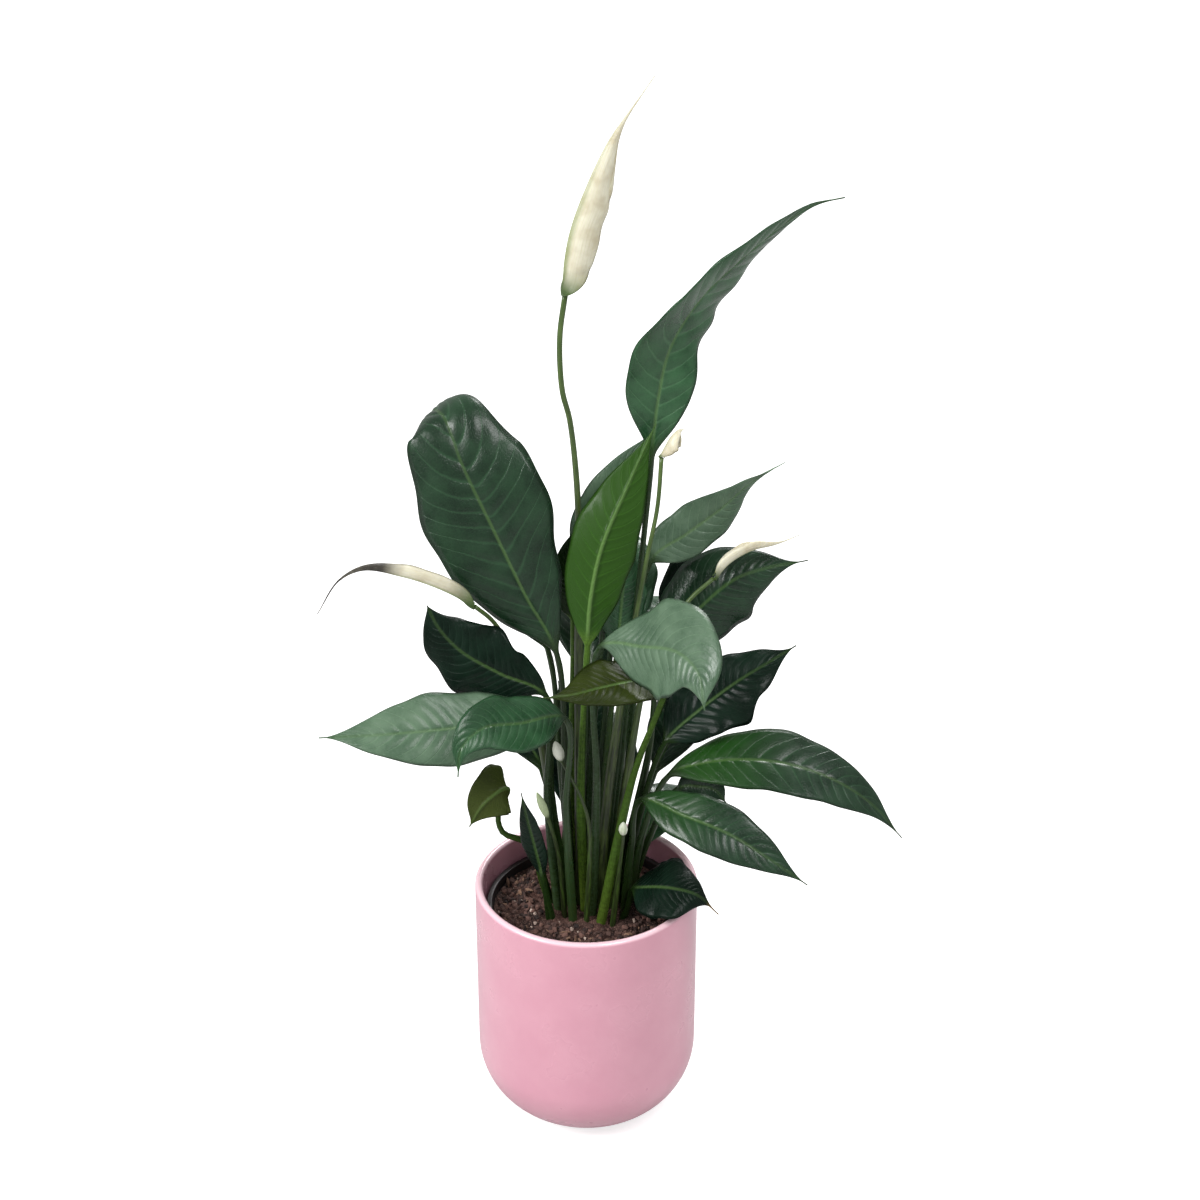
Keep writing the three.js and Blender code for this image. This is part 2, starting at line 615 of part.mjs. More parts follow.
/** Cutting one closed body out of another. */
async function openKernel() {
  const wasm = await Module();
  wasm.setup();
  const solid = (geometry) => {
    const bare = geometry.clone();
    bare.deleteAttribute("normal");
    bare.deleteAttribute("uv");
    const merged = mergeVertices(bare, 1e-4);
    return new wasm.Manifold(new wasm.Mesh({
      numProp: 3,
      vertProperties: new Float32Array(merged.attributes.position.array),
      triVerts: new Uint32Array(merged.index.array),
    }));
  };
  const cut = (body, tools) => {
    const result = solid(body).subtract(wasm.Manifold.union(tools.map(solid))).getMesh();
    const geometry = new THREE.BufferGeometry();
    geometry.setAttribute("position", new THREE.Float32BufferAttribute(result.vertProperties, 3));
    geometry.setIndex(Array.from(result.triVerts));
    return geometry;
  };
  return { cut };
}

// ---------- Finishes ----------
const FINISH = {
  glaze: { color: 0xe3a5b5, roughness: 0.18 },
  plastic: { color: 0x232323, roughness: 0.5 },
  soil: { color: 0x4a3229, roughness: 0.95 },
  deep: { color: 0x22442f, roughness: 0.38 },
  dark: { color: 0x12271f, roughness: 0.38 },
  green: { color: 0x335f44, roughness: 0.4 },
  sage: { color: 0x5b8268, roughness: 0.42 },
  olive: { color: 0x39431a, roughness: 0.45 },
  young: { color: 0x2f5a14, roughness: 0.42 },
  stalk: { color: 0x5d7a33, roughness: 0.5 },
  hood: { color: 0xeee6c8, roughness: 0.55 },
  spadix: { color: 0xdcd9a8, roughness: 0.7 },
  bud: { color: 0xd5d8c2, roughness: 0.5 },
};

function addPiece(group, name, geometry, finish) {
  geometry.computeVertexNormals();
  const material = new THREE.MeshStandardMaterial({ ...FINISH[finish], metalness: 0 });
  const mesh = new THREE.Mesh(geometry, material);
  mesh.name = name;
  group.add(mesh);
}

/** Gives a stem its smooth path from the foot in the soil, and its radii. */
function plant(stem) {
  const foot = [...stem.foot, STEM.plantedZ];
  const points = [foot, ...stem.stalk, ...(stem.blade ?? [])];
  const neck = stem.stalk.length;
  return {
    footRadius: STEM.footRadius,
    neck: STEM.neckRadius,
    ...stem,
    path: makePath(points, neck, stem.faces ?? stem.hood?.faces ?? [0, -1, 0]),
  };
}

/** A hood's path starts just clear of the top of its stalk. */
function hoodPath(flower) {
  const { path } = flower;
  const { place, along, up } = pathAt(path, path.end);
  const start = place.addScaledVector(along, 2.5 * GAP).addScaledVector(up, -SPATHE.footBack);
  return makePath([start.toArray(), ...flower.hood.blade], 0, flower.hood.faces);
}

const kernel = await openKernel();
const leaves = LEAVES.map(plant);
const flowers = FLOWERS.map(plant).map((flower) => ({ ...flower, hoodPath: hoodPath(flower) }));
const buds = BUDS.map(plant);

const lily = new THREE.Group();
lily.name = "potted_peace_lily";
addPiece(lily, "pot", potBody(), "glaze");
addPiece(lily, "nursery_pot", nurseryBody(kernel), "plastic");
addPiece(lily, "soil", soilBody(kernel, [...leaves, ...flowers, ...buds]), "soil");
for (const leaf of leaves) addPiece(lily, leaf.name, leafBody(leaf), leaf.finish ?? "deep");
for (const flower of flowers) {
  addPiece(lily, `${flower.name}_stalk`, stalkBody(flower), "stalk");
  addPiece(lily, `${flower.name}_spathe`, spatheBody(flower), "hood");
  addPiece(lily, `${flower.name}_spadix`, spadixBody(flower), "spadix");
}
for (const bud of buds) addPiece(lily, bud.name, budBody(bud), "bud");

export default lily;
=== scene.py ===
"""Potted peace lily: leaves, flowers, buds, soil and glossy pots, made round the packed frame.

Metres, +Z up, the plant's broad front facing -Y. Stem tables are in millimetres.
"""

import math
from dataclasses import dataclass

import bpy
import numpy as np
from bpy.props import FloatProperty, FloatVectorProperty, IntProperty, PointerProperty
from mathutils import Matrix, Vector


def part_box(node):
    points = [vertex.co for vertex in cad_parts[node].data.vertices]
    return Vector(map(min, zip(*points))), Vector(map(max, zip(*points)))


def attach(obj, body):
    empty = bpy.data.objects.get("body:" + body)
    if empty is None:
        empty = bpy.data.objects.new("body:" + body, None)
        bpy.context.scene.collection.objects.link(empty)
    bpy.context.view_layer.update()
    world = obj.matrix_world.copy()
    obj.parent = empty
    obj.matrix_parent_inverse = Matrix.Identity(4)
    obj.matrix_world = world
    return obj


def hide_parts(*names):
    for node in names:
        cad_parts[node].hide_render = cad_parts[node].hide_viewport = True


bl_info = {
    "name": "Potted Peace Lily",
    "version": (1, 0, 0),
    "blender": (4, 5, 0),
    "location": "3D View > Sidebar > Peace Lily",
    "description": "Makes a potted peace lily piece by piece, with its finishes",
    "category": "Add Mesh",
}

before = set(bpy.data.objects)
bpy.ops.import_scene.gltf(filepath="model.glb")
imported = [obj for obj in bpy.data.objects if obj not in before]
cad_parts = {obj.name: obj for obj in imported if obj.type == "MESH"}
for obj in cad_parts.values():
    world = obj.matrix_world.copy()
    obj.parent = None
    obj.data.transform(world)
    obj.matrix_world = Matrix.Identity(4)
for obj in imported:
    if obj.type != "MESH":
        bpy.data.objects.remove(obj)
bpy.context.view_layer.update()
POT_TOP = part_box("pot")[1]
NURSERY_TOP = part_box("nursery_pot")[1]
SOIL_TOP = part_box("soil")[1]

# ---------- Fixed sizes: lengths in millimetres unless a comment says otherwise ----------
MM = 0.001
SEED = 11
PATH_STEPS = 24  # steps of a smooth line between two given points
PLANTED_Z = 126  # where the stems start, inside the soil
SHEATH_FROM, SHEATH_OVER = 0.25, 0.6  # where a stem narrows, as shares of its length
OPENING = 0.12  # share of a blade over which the round stalk opens into it
NECK_SWELL, NECK_SWELL_AT, NECK_SWELL_WIDTH = 0.12, 0.95, 0.04  # of a leaf's stalk, as shares
# The channel along a sheath and the lips beside it: shares of the radius, and angles off the top.
CHANNEL_DEPTH, CHANNEL_WIDTH = 0.34, 0.42
LIP_HEIGHT, LIP_AT, LIP_WIDTH = 0.05, 0.75, 0.2
PATTERN_STEP = 0.4  # metres between the patterns of two pieces, so that no two are alike
GAP = 0.35  # clear space left between neighbouring pieces
HOOD_BACK = 0.9  # how far behind the top of its stalk a hood starts
SPIKE_FOOT = 0.35  # radius of a spike's foot, as a share of the spike's
SPIKE_CLEAR = 2 * GAP  # from the inside of the hood to the spike's foot

# Outlines of a spike and of a bud's head: share of the length, share of the radius.
SPIKE_SHAPE = [(0, 0.35), (0.16, 0.4), (0.24, 0.85), (0.34, 1), (0.8, 0.92), (0.93, 0.66), (1, 0.3)]
BUD_SHAPE = [(0, 0.4), (0.22, 0.8), (0.45, 1), (0.7, 0.85), (0.9, 0.45), (1, 0.12)]
NURSERY = {
    "rim_radius": NURSERY_TOP.x / MM, "rim_height": 6, "top_radius": 56.5, "foot_radius": 44,
    "wall": 1.2, "foot_z": 14.4, "top_z": NURSERY_TOP.z / MM,
}
SOIL_EDGE_Z, SOIL_CROWN_Z = 135.5, SOIL_TOP.z / MM
SOIL_CROWN = [(0, 1), (0.55, 0.85), (0.8, 0.35), (1, 0)]  # share of the reach, share of the crown
SOIL_SINK = 0.6  # how far the soil between its lumps lies under the crown
CRUMB_REACH = 53  # loose bits lie within this radius
STEM_ROOM = 3.2  # no loose bit lies nearer than this to the middle of a stem
STEM_AT = 13.0  # length along a stem at which it comes out of the soil

# How finely each kind of surface is divided.
STALK_ROWS, BLADE_ROWS, LEAF_COLUMNS = 26, 116, 15
HOOD_ROWS, HOOD_COLUMNS = 110, 14
STEM_ROWS, STEM_COLUMNS = 90, 28
SPIKE_ROWS, SPIKE_COLUMNS = 180, 60
BUD_STALK_ROWS, BUD_HEAD_ROWS = 70, 60
POT_COLUMNS, NURSERY_COLUMNS = 200, 160
SOIL_ROWS, SOIL_COLUMNS = 100, 300

# The stage, in metres, and the camera's sensor in millimetres.
FLOOR_REACH = 9.0
LIT_POINT = (0, 0, 0.3)
CAMERA_TARGET = (0.008, 0, 0.340)
SENSOR_WIDTH = 36

# Colours that the panel leaves alone.
DRY_PALE = "#A98F62"
STALK_STREAK, STALK_PATCH = "#5E7434", "#3A4A22"
HOOD_RIB = "#B9C08C"
SPIKE_FURROW, SPIKE_SPECK = "#9AA35C", "#F6F1D4"
PINPRICK, BARE_CLAY = "#A8707E", "#D9C3B2"
FLOOR_PATCH = "#BDBCBB"


# ---------- The plant ----------
@dataclass
class Leaf:
    """A leaf: stalk points up to the neck, then midrib points to the tip, in millimetres.

    faces is the way the upper side looks. fold, cup and twist are degrees from neck to tip.
    wave is the height, count and start of the margin waves. flush is how much young green
    shows at the base of the blade, dry is the share of the blade that has dried at its tip, and
    lit_stalk is how far its stalk keeps its lit green instead of the near-black painted shade
    that stands for the shadow inside the clump. finish names its colour set, where dark is
    painted shade and sage is painted sheen. ripple and ragged are fine waves of the margin, out
    of the blade and within it, as shares of its half width.
    """

    name: str
    foot: tuple
    stalk: list
    blade: list
    width: float
    faces: tuple
    fold: tuple = (15, 10)
    cup: tuple = (-20, -20)
    twist: tuple = (0,)
    wave: tuple = (0.08, 2.5, 0)
    widest: float = 0.42
    base: float = 0.35
    taper: float = 0.9
    neck: float = 1.6
    foot_radius: float = 2.8
    tone_and_light: str = "deep"
    flush: float = 0.0
    dry: float = 0.0
    lit_stalk: float = 0.12
    ripple: float = 0.014
    ragged: float = 0.03


@dataclass
class Flower:
    """A flower: its stalk, the hood rolled round it, and the spike inside, in millimetres."""

    name: str
    foot: tuple
    stalk: list
    blade: list
    width: float
    faces: tuple
    fold: tuple
    cup: tuple
    wave: tuple
    widest: float
    taper: float
    neck: float
    hood_neck: float
    spike_radius: float
    spike_end: float
    spike_out: float
    twist: tuple = (0,)
    base: float = 0.35
    foot_radius: float = 2.8
    green_foot: float = 0.12
    brown_tip: float = 0.0
    ripple: float = 0.012
    ragged: float = 0.03


@dataclass
class Bud:
    """A young bud on its own thin stalk, in millimetres."""

    name: str
    foot: tuple
    stalk: list
    neck: float
    foot_radius: float
    head_length: float
    head_radius: float
    pale: float = 0.5


LEAVES = [
    Leaf("leaf_tall_right", foot=(9.5, 0), tone_and_light="green", ragged=0.07, ripple=0.035,
         stalk=[(20, 16, 230), (33, 22, 378), (36, 24, 414)],
         blade=[(39, 22, 449), (45, 20, 480), (60, 22, 506), (80, 28, 525), (99, 36, 539),
                (118, 42, 551), (136, 44, 555)],
         width=42, faces=(-0.15, -1, 0.3), twist=(0, 15, 60, 65, 50), fold=(15, 5, 0), cup=(-12, -5),
         wave=(0.1, 2, 0.5), widest=0.38, base=0.9),
    Leaf("leaf_tall_mid", foot=(-0.2, -5.6), tone_and_light="young", lit_stalk=0.9,
         stalk=[(-3, -7, 220), (1, -9, 316)],
         blade=[(3, -8, 346), (9, -3, 374), (23, 7, 406), (38, 17, 438)],
         width=38, faces=(0.1, 1, -0.3), fold=(12, 8), cup=(12, 10), wave=(0.06, 2, 0)),
    Leaf("leaf_tall_back", foot=(-0.2, 5.6), tone_and_light="sage",
         stalk=[(3, 22, 230), (10, 29, 321)],
         blade=[(7, 33, 350), (12, 39, 378), (26, 45, 405), (38, 50, 420)],
         width=34, faces=(0.15, -1, 0.3), twist=(0, -15), wave=(0.06, 2, 0)),
    Leaf("leaf_big_left", foot=(-8.3, 6.5), ragged=0.045,
         stalk=[(-12, 6, 220), (-16, 3, 304)],
         blade=[(-33, 2, 342), (-50, 5, 381), (-66, 13, 415), (-76, 27, 437), (-84, 44, 433),
                (-88, 55, 412)],
         width=70, faces=(0.05, -1, 0.3), fold=(14, 10, 5), cup=(-20, -22), wave=(0.1, 2.2, 1),
         widest=0.5),
    Leaf("leaf_left_mid", foot=(-10, 0), tone_and_light="dark", ragged=0.06,
         stalk=[(-20, -7, 220), (-22, -15, 288)],
         blade=[(-47, -18, 304), (-68, -18, 318), (-80, -15, 331), (-86, -12, 343)],
         width=42, faces=(0, -0.9, 0.5), fold=(12, 5), wave=(0.15, 3.2, 0.6), widest=0.5, taper=0.35),
    Leaf("leaf_left_low", foot=(-15.3, -6.7), tone_and_light="sage",
         stalk=[(-22, -15, 220), (-24, -27, 282)],
         blade=[(-47, -35, 283), (-79, -43, 283), (-112, -47, 282), (-145, -45, 279)],
         width=42, faces=(-0.1, -0.5, 0.85), fold=(8, 12), cup=(-12, -20), wave=(0.06, 2.3, 0.2)),
    Leaf("leaf_front_left", foot=(-6.8, -16.9), tone_and_light="green",
         stalk=[(-11, -26, 220), (-11, -38, 287)],
         blade=[(-35, -58, 296), (-55, -74, 302), (-65, -84, 296), (-67, -88, 281)],
         width=33, faces=(-0.3, -0.5, 0.85), fold=(8, 15), cup=(-10, -20), wave=(0.05, 2, 0)),
    Leaf("leaf_front_centre", foot=(6.4, -19.2), tone_and_light="olive", lit_stalk=0.55,
         stalk=[(26, -26, 240), (44, -30, 309)],
         blade=[(29, -46, 316), (8, -60, 319), (-8, -68, 319), (-22, -72, 320)],
         width=38, faces=(0, -0.3, 0.95), fold=(8, 8), cup=(-8, -8), wave=(0.05, 2, 0.5)),
    Leaf("leaf_front_right", foot=(3, -13), tone_and_light="sage",
         stalk=[(6, -18, 230), (8, -30, 327)],
         blade=[(31, -49, 338), (49, -68, 345), (59, -83, 341), (62, -95, 326)],
         width=54, faces=(0.35, -0.45, 0.85), fold=(0, 6), cup=(-8, -20), wave=(0.04, 2, 0),
         widest=0.55),
    Leaf("leaf_right_dark", foot=(16, 0), tone_and_light="dark", ragged=0.07,
         stalk=[(30, 8, 190), (45, 10, 242)],
         blade=[(65, 14, 262), (86, 18, 278), (102, 22, 287), (119, 24, 298)],
         width=42, faces=(-0.35, -0.7, 0.6), fold=(12, 10), wave=(0.16, 3, 2)),
    Leaf("leaf_upper_right", foot=(9.5, 11.3), tone_and_light="sage",
         stalk=[(26, 24, 250), (36, 34, 346)],
         blade=[(57, 38, 362), (76, 42, 376), (91, 46, 389), (111, 50, 400)],
         width=28, faces=(-0.2, -0.8, 0.55), twist=(0, 10, 60, 80), fold=(10, 5), wave=(0.05, 2, 0.5),
         widest=0.33, taper=1.6),
    Leaf("leaf_right_mid", foot=(14.3, 6.5),
         stalk=[(36, 18, 230), (44, 22, 299)],
         blade=[(63, 26, 320), (83, 28, 338), (100, 30, 344), (124, 30, 349)],
         width=52, faces=(0, -0.75, 0.65), fold=(-12, -15), cup=(-25, -20), wave=(0.06, 2, 0.5),
         widest=0.38, taper=1.5),
    Leaf("leaf_back_right", foot=(12.8, 16.9), tone_and_light="dark",
         stalk=[(26, 34, 200), (54, 46, 276)],
         blade=[(60, 54, 305), (64, 60, 328), (67, 72, 330), (71, 84, 309)],
         width=38, faces=(0, -1, 0.3)),
    Leaf("leaf_centre_back", foot=(6.2, 5.6), tone_and_light="green", lit_stalk=0.35,
         stalk=[(12, 16, 230), (18, 23, 298)],
         blade=[(20, 25, 324), (22, 27, 345), (24, 31, 363)],
         width=28, faces=(0.1, -1, 0.2), twist=(0, 0)),
    Leaf("leaf_tip_mid", foot=(-3.5, 11.3), tone_and_light="young", lit_stalk=1.0,
         stalk=[(-8, 18, 230), (-7, 21, 316)],
         blade=[(-8, 22, 339), (-8, 25, 356), (-6, 29, 371)],
         width=24, faces=(-0.1, -1, 0.2), cup=(-8, -8)),
    Leaf("leaf_right_low", foot=(22.5, 0), flush=0.9,
         stalk=[(33, -2, 190), (47, 0, 226)],
         blade=[(68, -3, 237), (93, -8, 242), (116, -12, 241), (139, -16, 234), (161, -18, 219),
                (180, -18, 196)],
         width=40, faces=(0, -0.3, 1), fold=(5, 10), cup=(-10, -15), wave=(0.05, 2.5, 0)),
    Leaf("leaf_right_front", foot=(21.3, -6.7), flush=0.6,
         stalk=[(26, -16, 190), (31, -20, 223)],
         blade=[(55, -38, 224), (79, -50, 220), (101, -58, 209), (123, -62, 194)],
         width=31, faces=(0.1, -0.5, 0.85), fold=(8, 10), cup=(-14, -14), wave=(0.05, 2.5, 1)),
    Leaf("leaf_right_small", foot=(21.3, 6.7),
         stalk=[(36, 4, 180), (53, 3, 216)],
         blade=[(65, 0, 219), (74, -4, 219), (80, -8, 213)],
         width=22, faces=(0.2, -0.7, 0.6)),
    Leaf("leaf_left_small", foot=(-17.5, 0.5), tone_and_light="olive", lit_stalk=0.3,
         stalk=[(-24, -4, 152), (-32, -10, 186), (-40, -14, 193), (-47, -15, 197), (-50, -16, 208),
                (-46, -18, 222)],
         blade=[(-44, -23, 232), (-48, -31, 236), (-57, -36, 230), (-65, -37, 216)],
         width=30, faces=(-0.2, -0.4, 0.9)),
    Leaf("leaf_pot_right", foot=(17.9, -12.5), tone_and_light="dark", dry=0.2,
         stalk=[(24, -17, 148), (27, -18, 160)],
         blade=[(37, -25, 167), (50, -31, 170), (63, -33, 167), (76, -31, 152)],
         width=40, faces=(0, -0.3, 1), fold=(-4, -4), cup=(-8, -8), widest=0.38, taper=3.5),
    Leaf("leaf_rear_high_left", foot=(-6.8, 16.9),
         stalk=[(-15, 26, 220), (-22, 35, 290)],
         blade=[(-42, 62, 318), (-60, 90, 328), (-72, 118, 316)],
         width=44, faces=(0.2, -0.2, 1), wave=(0.06, 2, 1)),
    Leaf("leaf_rear_high", foot=(3, 13), tone_and_light="green",
         stalk=[(9, 28, 220), (14, 40, 285)],
         blade=[(19, 62, 318), (22, 86, 334), (22, 110, 330)],
         width=42, faces=(0, -0.6, 0.8), wave=(0.06, 2, 2)),
    Leaf("leaf_rear_centre", foot=(-0.4, 19.2),
         stalk=[(1, 28, 210), (2, 38, 268)],
         blade=[(3, 66, 296), (4, 102, 294), (4, 142, 262)],
         width=50, faces=(0, -0.3, 1), wave=(0.06, 2.4, 0)),
    Leaf("leaf_rear_high_right", foot=(6.4, 19.2), tone_and_light="green",
         stalk=[(18, 31, 200), (26, 43, 252)],
         blade=[(37, 72, 278), (47, 106, 284), (54, 142, 260)],
         width=44, faces=(-0.2, -0.3, 1), wave=(0.06, 2, 0.6)),
    Leaf("leaf_rear_low_left", foot=(-11.9, 12.5), tone_and_light="dark",
         stalk=[(-18, 18, 170), (-26, 26, 214)],
         blade=[(-45, 58, 230), (-62, 96, 222), (-74, 134, 188)],
         width=44, faces=(0.2, -0.2, 1), wave=(0.06, 2.2, 1.4)),
    Leaf("leaf_rear_low_right", foot=(17.9, 12.5),
         stalk=[(28, 19, 175), (40, 26, 212)],
         blade=[(58, 54, 236), (73, 88, 240), (86, 122, 222)],
         width=42, faces=(-0.2, -0.3, 1), wave=(0.06, 2.2, 2.2)),
    Leaf("leaf_rear_low", foot=(5.5, 25), flush=0.4,
         stalk=[(6, 30, 160), (6, 37, 188)],
         blade=[(8, 70, 208), (8, 108, 202), (6, 148, 166)],
         width=42, faces=(0, -0.2, 1), wave=(0.06, 2.2, 0.2)),
    Leaf("leaf_rear_pot_right", foot=(26.5, 11), tone_and_light="green", flush=0.3,
         stalk=[(29, 14, 145), (33, 21, 164)],
         blade=[(46, 42, 178), (62, 62, 174), (74, 82, 150)],
         width=32, faces=(0, -0.2, 1), wave=(0.06, 2.2, 0.2)),
    Leaf("leaf_inner_left", foot=(-19, -14), tone_and_light="dark",
         stalk=[(-22, -19, 150), (-25, -22, 172)],
         blade=[(-29, -26, 196), (-33, -30, 218), (-36, -33, 236)],
         width=14, faces=(-0.3, -0.9, 0.3), fold=(18, 10)),
    Leaf("leaf_inner_rear_left", foot=(-13, 19.5), tone_and_light="dark",
         stalk=[(-13, 26, 160), (-12, 30, 185)],
         blade=[(-12, 35, 214), (-14, 39, 242), (-16, 43, 264)],
         width=23, faces=(0, -1, 0.3), fold=(15, 10)),
    Leaf("leaf_inner_rear_right", foot=(17, 23), tone_and_light="green",
         stalk=[(20, 32, 160), (20, 36, 184)],
         blade=[(20, 41, 210), (20, 44, 230), (20, 47, 248)],
         width=20, faces=(0, -1, 0.3), fold=(15, 10)),
    Leaf("leaf_inner_rear", foot=(-6, 25),
         stalk=[(-4, 36, 170), (-2, 42, 205)],
         blade=[(0, 47, 234), (2, 51, 260), (3, 55, 280)],
         width=30, faces=(0, -1, 0.3), fold=(15, 10)),
]

FLOWERS = [
    Flower("flower_tall", foot=(-3.5, 0), neck=1.5, green_foot=0.1,
           stalk=[(-4, 16, 300), (-4, 17, 389), (-8, 13, 441), (-12, 9, 461), (-13, 7, 491),
                  (-10, 4, 516)],
           blade=[(-10, 1, 534), (-7, 1, 551), (0, 3, 571), (12, 6, 596), (26, 8, 616),
                  (35, 10, 629)],
           faces=(0.95, 0.3, 0), width=38, widest=0.3, taper=3.6, fold=(30, 40, 30),
           cup=(90, 115, 100), wave=(0.02, 2, 0), hood_neck=1.3,
           spike_radius=2.5, spike_end=46, spike_out=6),
    Flower("flower_small", foot=(6.2, -5.6), neck=1.2,
           stalk=[(14, -2, 230), (33, 3, 361), (39, 8, 392), (41, 10, 421)],
           blade=[(43, 11, 427), (46, 11, 433), (50, 11, 437), (53, 12, 437)],
           faces=(0.9, -0.2, 0.3), width=16, widest=0.45, taper=0.4, fold=(30, 30), cup=(80, 90),
           wave=(0.03, 2, 0), hood_neck=1.1,
           spike_radius=0.8, spike_end=9, spike_out=2.7),
    Flower("flower_left", foot=(-15.3, 6.7), neck=1.2, brown_tip=0.58, green_foot=0.16,
           stalk=[(-22, 8, 220), (-37, 3, 296), (-50, -6, 329), (-60, -13, 343)],
           blade=[(-69, -17, 351), (-82, -21, 360), (-97, -24, 367), (-118, -28, 373),
                  (-131, -31, 368), (-143, -33, 349)],
           faces=(0, 0.5, 0.85), width=16, widest=0.27, taper=4, fold=(20, 20, 10), cup=(70, 80, 60),
           wave=(0.03, 2, 0), hood_neck=1.2,
           spike_radius=1.2, spike_end=25, spike_out=2.9),
    Flower("flower_right", foot=(14.3, -6.5), neck=1.2, brown_tip=0.12,
           stalk=[(24, 0, 230), (40, 8, 308), (58, 14, 333), (71, 18, 344)],
           blade=[(79, 20, 352), (91, 24, 358), (105, 28, 360), (119, 30, 365)],
           faces=(-0.2, 0.3, 0.95), width=13, widest=0.33, taper=2.5, fold=(20, 20, 10),
           cup=(70, 80, 60), wave=(0.03, 2, 0), hood_neck=1.1,
           spike_radius=0.9, spike_end=16, spike_out=2.4),
]

BUDS = [
    Bud("bud_front", foot=(-0.4, -19.2), neck=0.9, foot_radius=1.7,
        stalk=[(2, -22, 204), (-2, -24, 225), (-13, -26, 252), (-17, -26, 265)],
        head_length=13, head_radius=3.2, pale=0.95),
    Bud("bud_left", foot=(-11.9, -12.5), neck=1, foot_radius=1.7,
        stalk=[(-15, -20, 180), (-20, -29, 212), (-27, -36, 238)],
        head_length=22, head_radius=2.4, pale=0.3),
    Bud("bud_right", foot=(14.5, -18.5), neck=0.9, foot_radius=1.7,
        stalk=[(19, -27, 180), (21, -33, 206), (21, -34, 217)],
        head_length=9, head_radius=2.6, pale=0.85),
]

# Colours of each leaf colour set: upper side, its lighter patches, the side veins, and the underside.
# Two sets are painted light on the same leaf green: dark is painted shade, sage is painted sheen.
LEAF_TONES_AND_LIGHT = {
    "deep": ("#0F2315", "#1A3420", "#335639", "#345138"),
    # dark: painted shade, the leaf green darkened for leaves that lie in shadow.
    "dark": ("#07140D", "#0E2016", "#1C3225", "#203525"),
    "green": ("#1B3C23", "#2C5233", "#4C7450", "#436646"),
    # sage: painted sheen, the leaf green greyed and lightened for leaves whose gloss catches the
    # light.
    "sage": ("#405743", "#566D57", "#6A856A", "#5E7960"),
    "olive": ("#1F280A", "#2B3510", "#404A1D", "#38421B"),
    "young": ("#0B1F02", "#163405", "#2E5414", "#24440E"),
}
LEAF_SPECULAR = 0.2
# How strongly each colour set shines, times its wax and its specular level.
LEAF_SHINE = {"deep": 1.1, "dark": 0.4, "green": 1.3, "sage": 0.9, "olive": 0.35, "young": 0.6}


def tint(code):
    """A '#RRGGBB' screen colour as linear red, green, blue and alpha."""
    screen = np.array([int(code[i:i + 2], 16) for i in (1, 3, 5)]) / 255
    linear = np.where(screen <= 0.04045, screen / 12.92, ((screen + 0.055) / 1.055) ** 2.4)
    return (*linear.tolist(), 1.0)


# ---------- Lines and numbers ----------
def unit(v):
    """Vectors scaled to length one."""
    return v / np.maximum(np.linalg.norm(v, axis=-1, keepdims=True), 1e-12)


def spread(values, t):
    """Numbers spread evenly over 0 to 1 and read at t, in straight steps between them."""
    if len(values) == 1:
        return values[0] + 0 * t
    return np.interp(t, np.linspace(0, 1, len(values)), values)


def ease(x):
    """3x^2 - 2x^3 while x goes from 0 to 1: a smooth rise."""
    c = np.clip(x, 0, 1)
    return c * c * (3 - 2 * c)


def crowded(x):
    """x - 0.03 sin(2 pi x): even steps over 0 to 1 drawn closer together at both ends."""
    return x - 0.03 * np.sin(2 * np.pi * x)


def mix(a, b, share):
    """a + (b - a) share."""
    return a + (b - a) * share


def smooth_line(points):
    """Centripetal Catmull-Rom curve: each span is a cubic whose end slopes come from its
    neighbours, weighted by the square roots of the distances between the points."""
    p = np.asarray(points, float)
    p = np.vstack([2 * p[0] - p[1], p, 2 * p[-1] - p[-2]])
    a, b, c, d = p[:-3], p[1:-2], p[2:-1], p[3:]
    ab, bc, cd = (np.sqrt(np.linalg.norm(gap, axis=1))[:, None] for gap in (b - a, c - b, d - c))
    leave = ((b - a) / ab - (c - a) / (ab + bc) + (c - b) / bc) * bc
    arrive = ((c - b) / bc - (d - b) / (bc + cd) + (d - c) / cd) * bc
    w = (np.arange(PATH_STEPS) / PATH_STEPS)[None, :, None]
    b, c, leave, arrive = (x[:, None, :] for x in (b, c, leave, arrive))
    square, cube = 3 * (c - b) - 2 * leave - arrive, 2 * (b - c) + leave + arrive
    spans = b + leave * w + square * w**2 + cube * w**3
    return np.vstack([spans.reshape(-1, 3), p[-2:-1]])


class Path:
    """A smooth line with a direction and an upper side at every step.

    The upper side is set at one given point and carried both ways without turning: at each step
    the last one loses whatever part of it lies along the line.
    """

    def __init__(self, points, fixed, faces):
        line = smooth_line(points)
        padded = np.vstack([line[:1], line, line[-1:]])
        along = unit(padded[2:] - padded[:-2])
        ups = np.zeros_like(line)
        start = fixed * PATH_STEPS
        ups[start] = unit(faces - (faces @ along[start]) * along[start])
        for i in range(start + 1, len(line)):
            ups[i] = unit(ups[i - 1] - (ups[i - 1] @ along[i]) * along[i])
        for i in range(start - 1, -1, -1):
            ups[i] = unit(ups[i + 1] - (ups[i + 1] @ along[i]) * along[i])
        self.line, self.along, self.ups = line, along, ups
        self.lengths = np.r_[0, np.cumsum(np.linalg.norm(np.diff(line, axis=0), axis=1))]
        self.neck, self.end = self.lengths[start], self.lengths[-1]

    def at(self, s):
        """Place, direction and upper side at lengths s along the line."""
        place, along, up = (
            np.stack([np.interp(s, self.lengths, column) for column in table.T], -1)
            for table in (self.line, self.along, self.ups)
        )
        along = unit(along)
        return place, along, unit(up - (up * along).sum(-1, keepdims=True) * along)


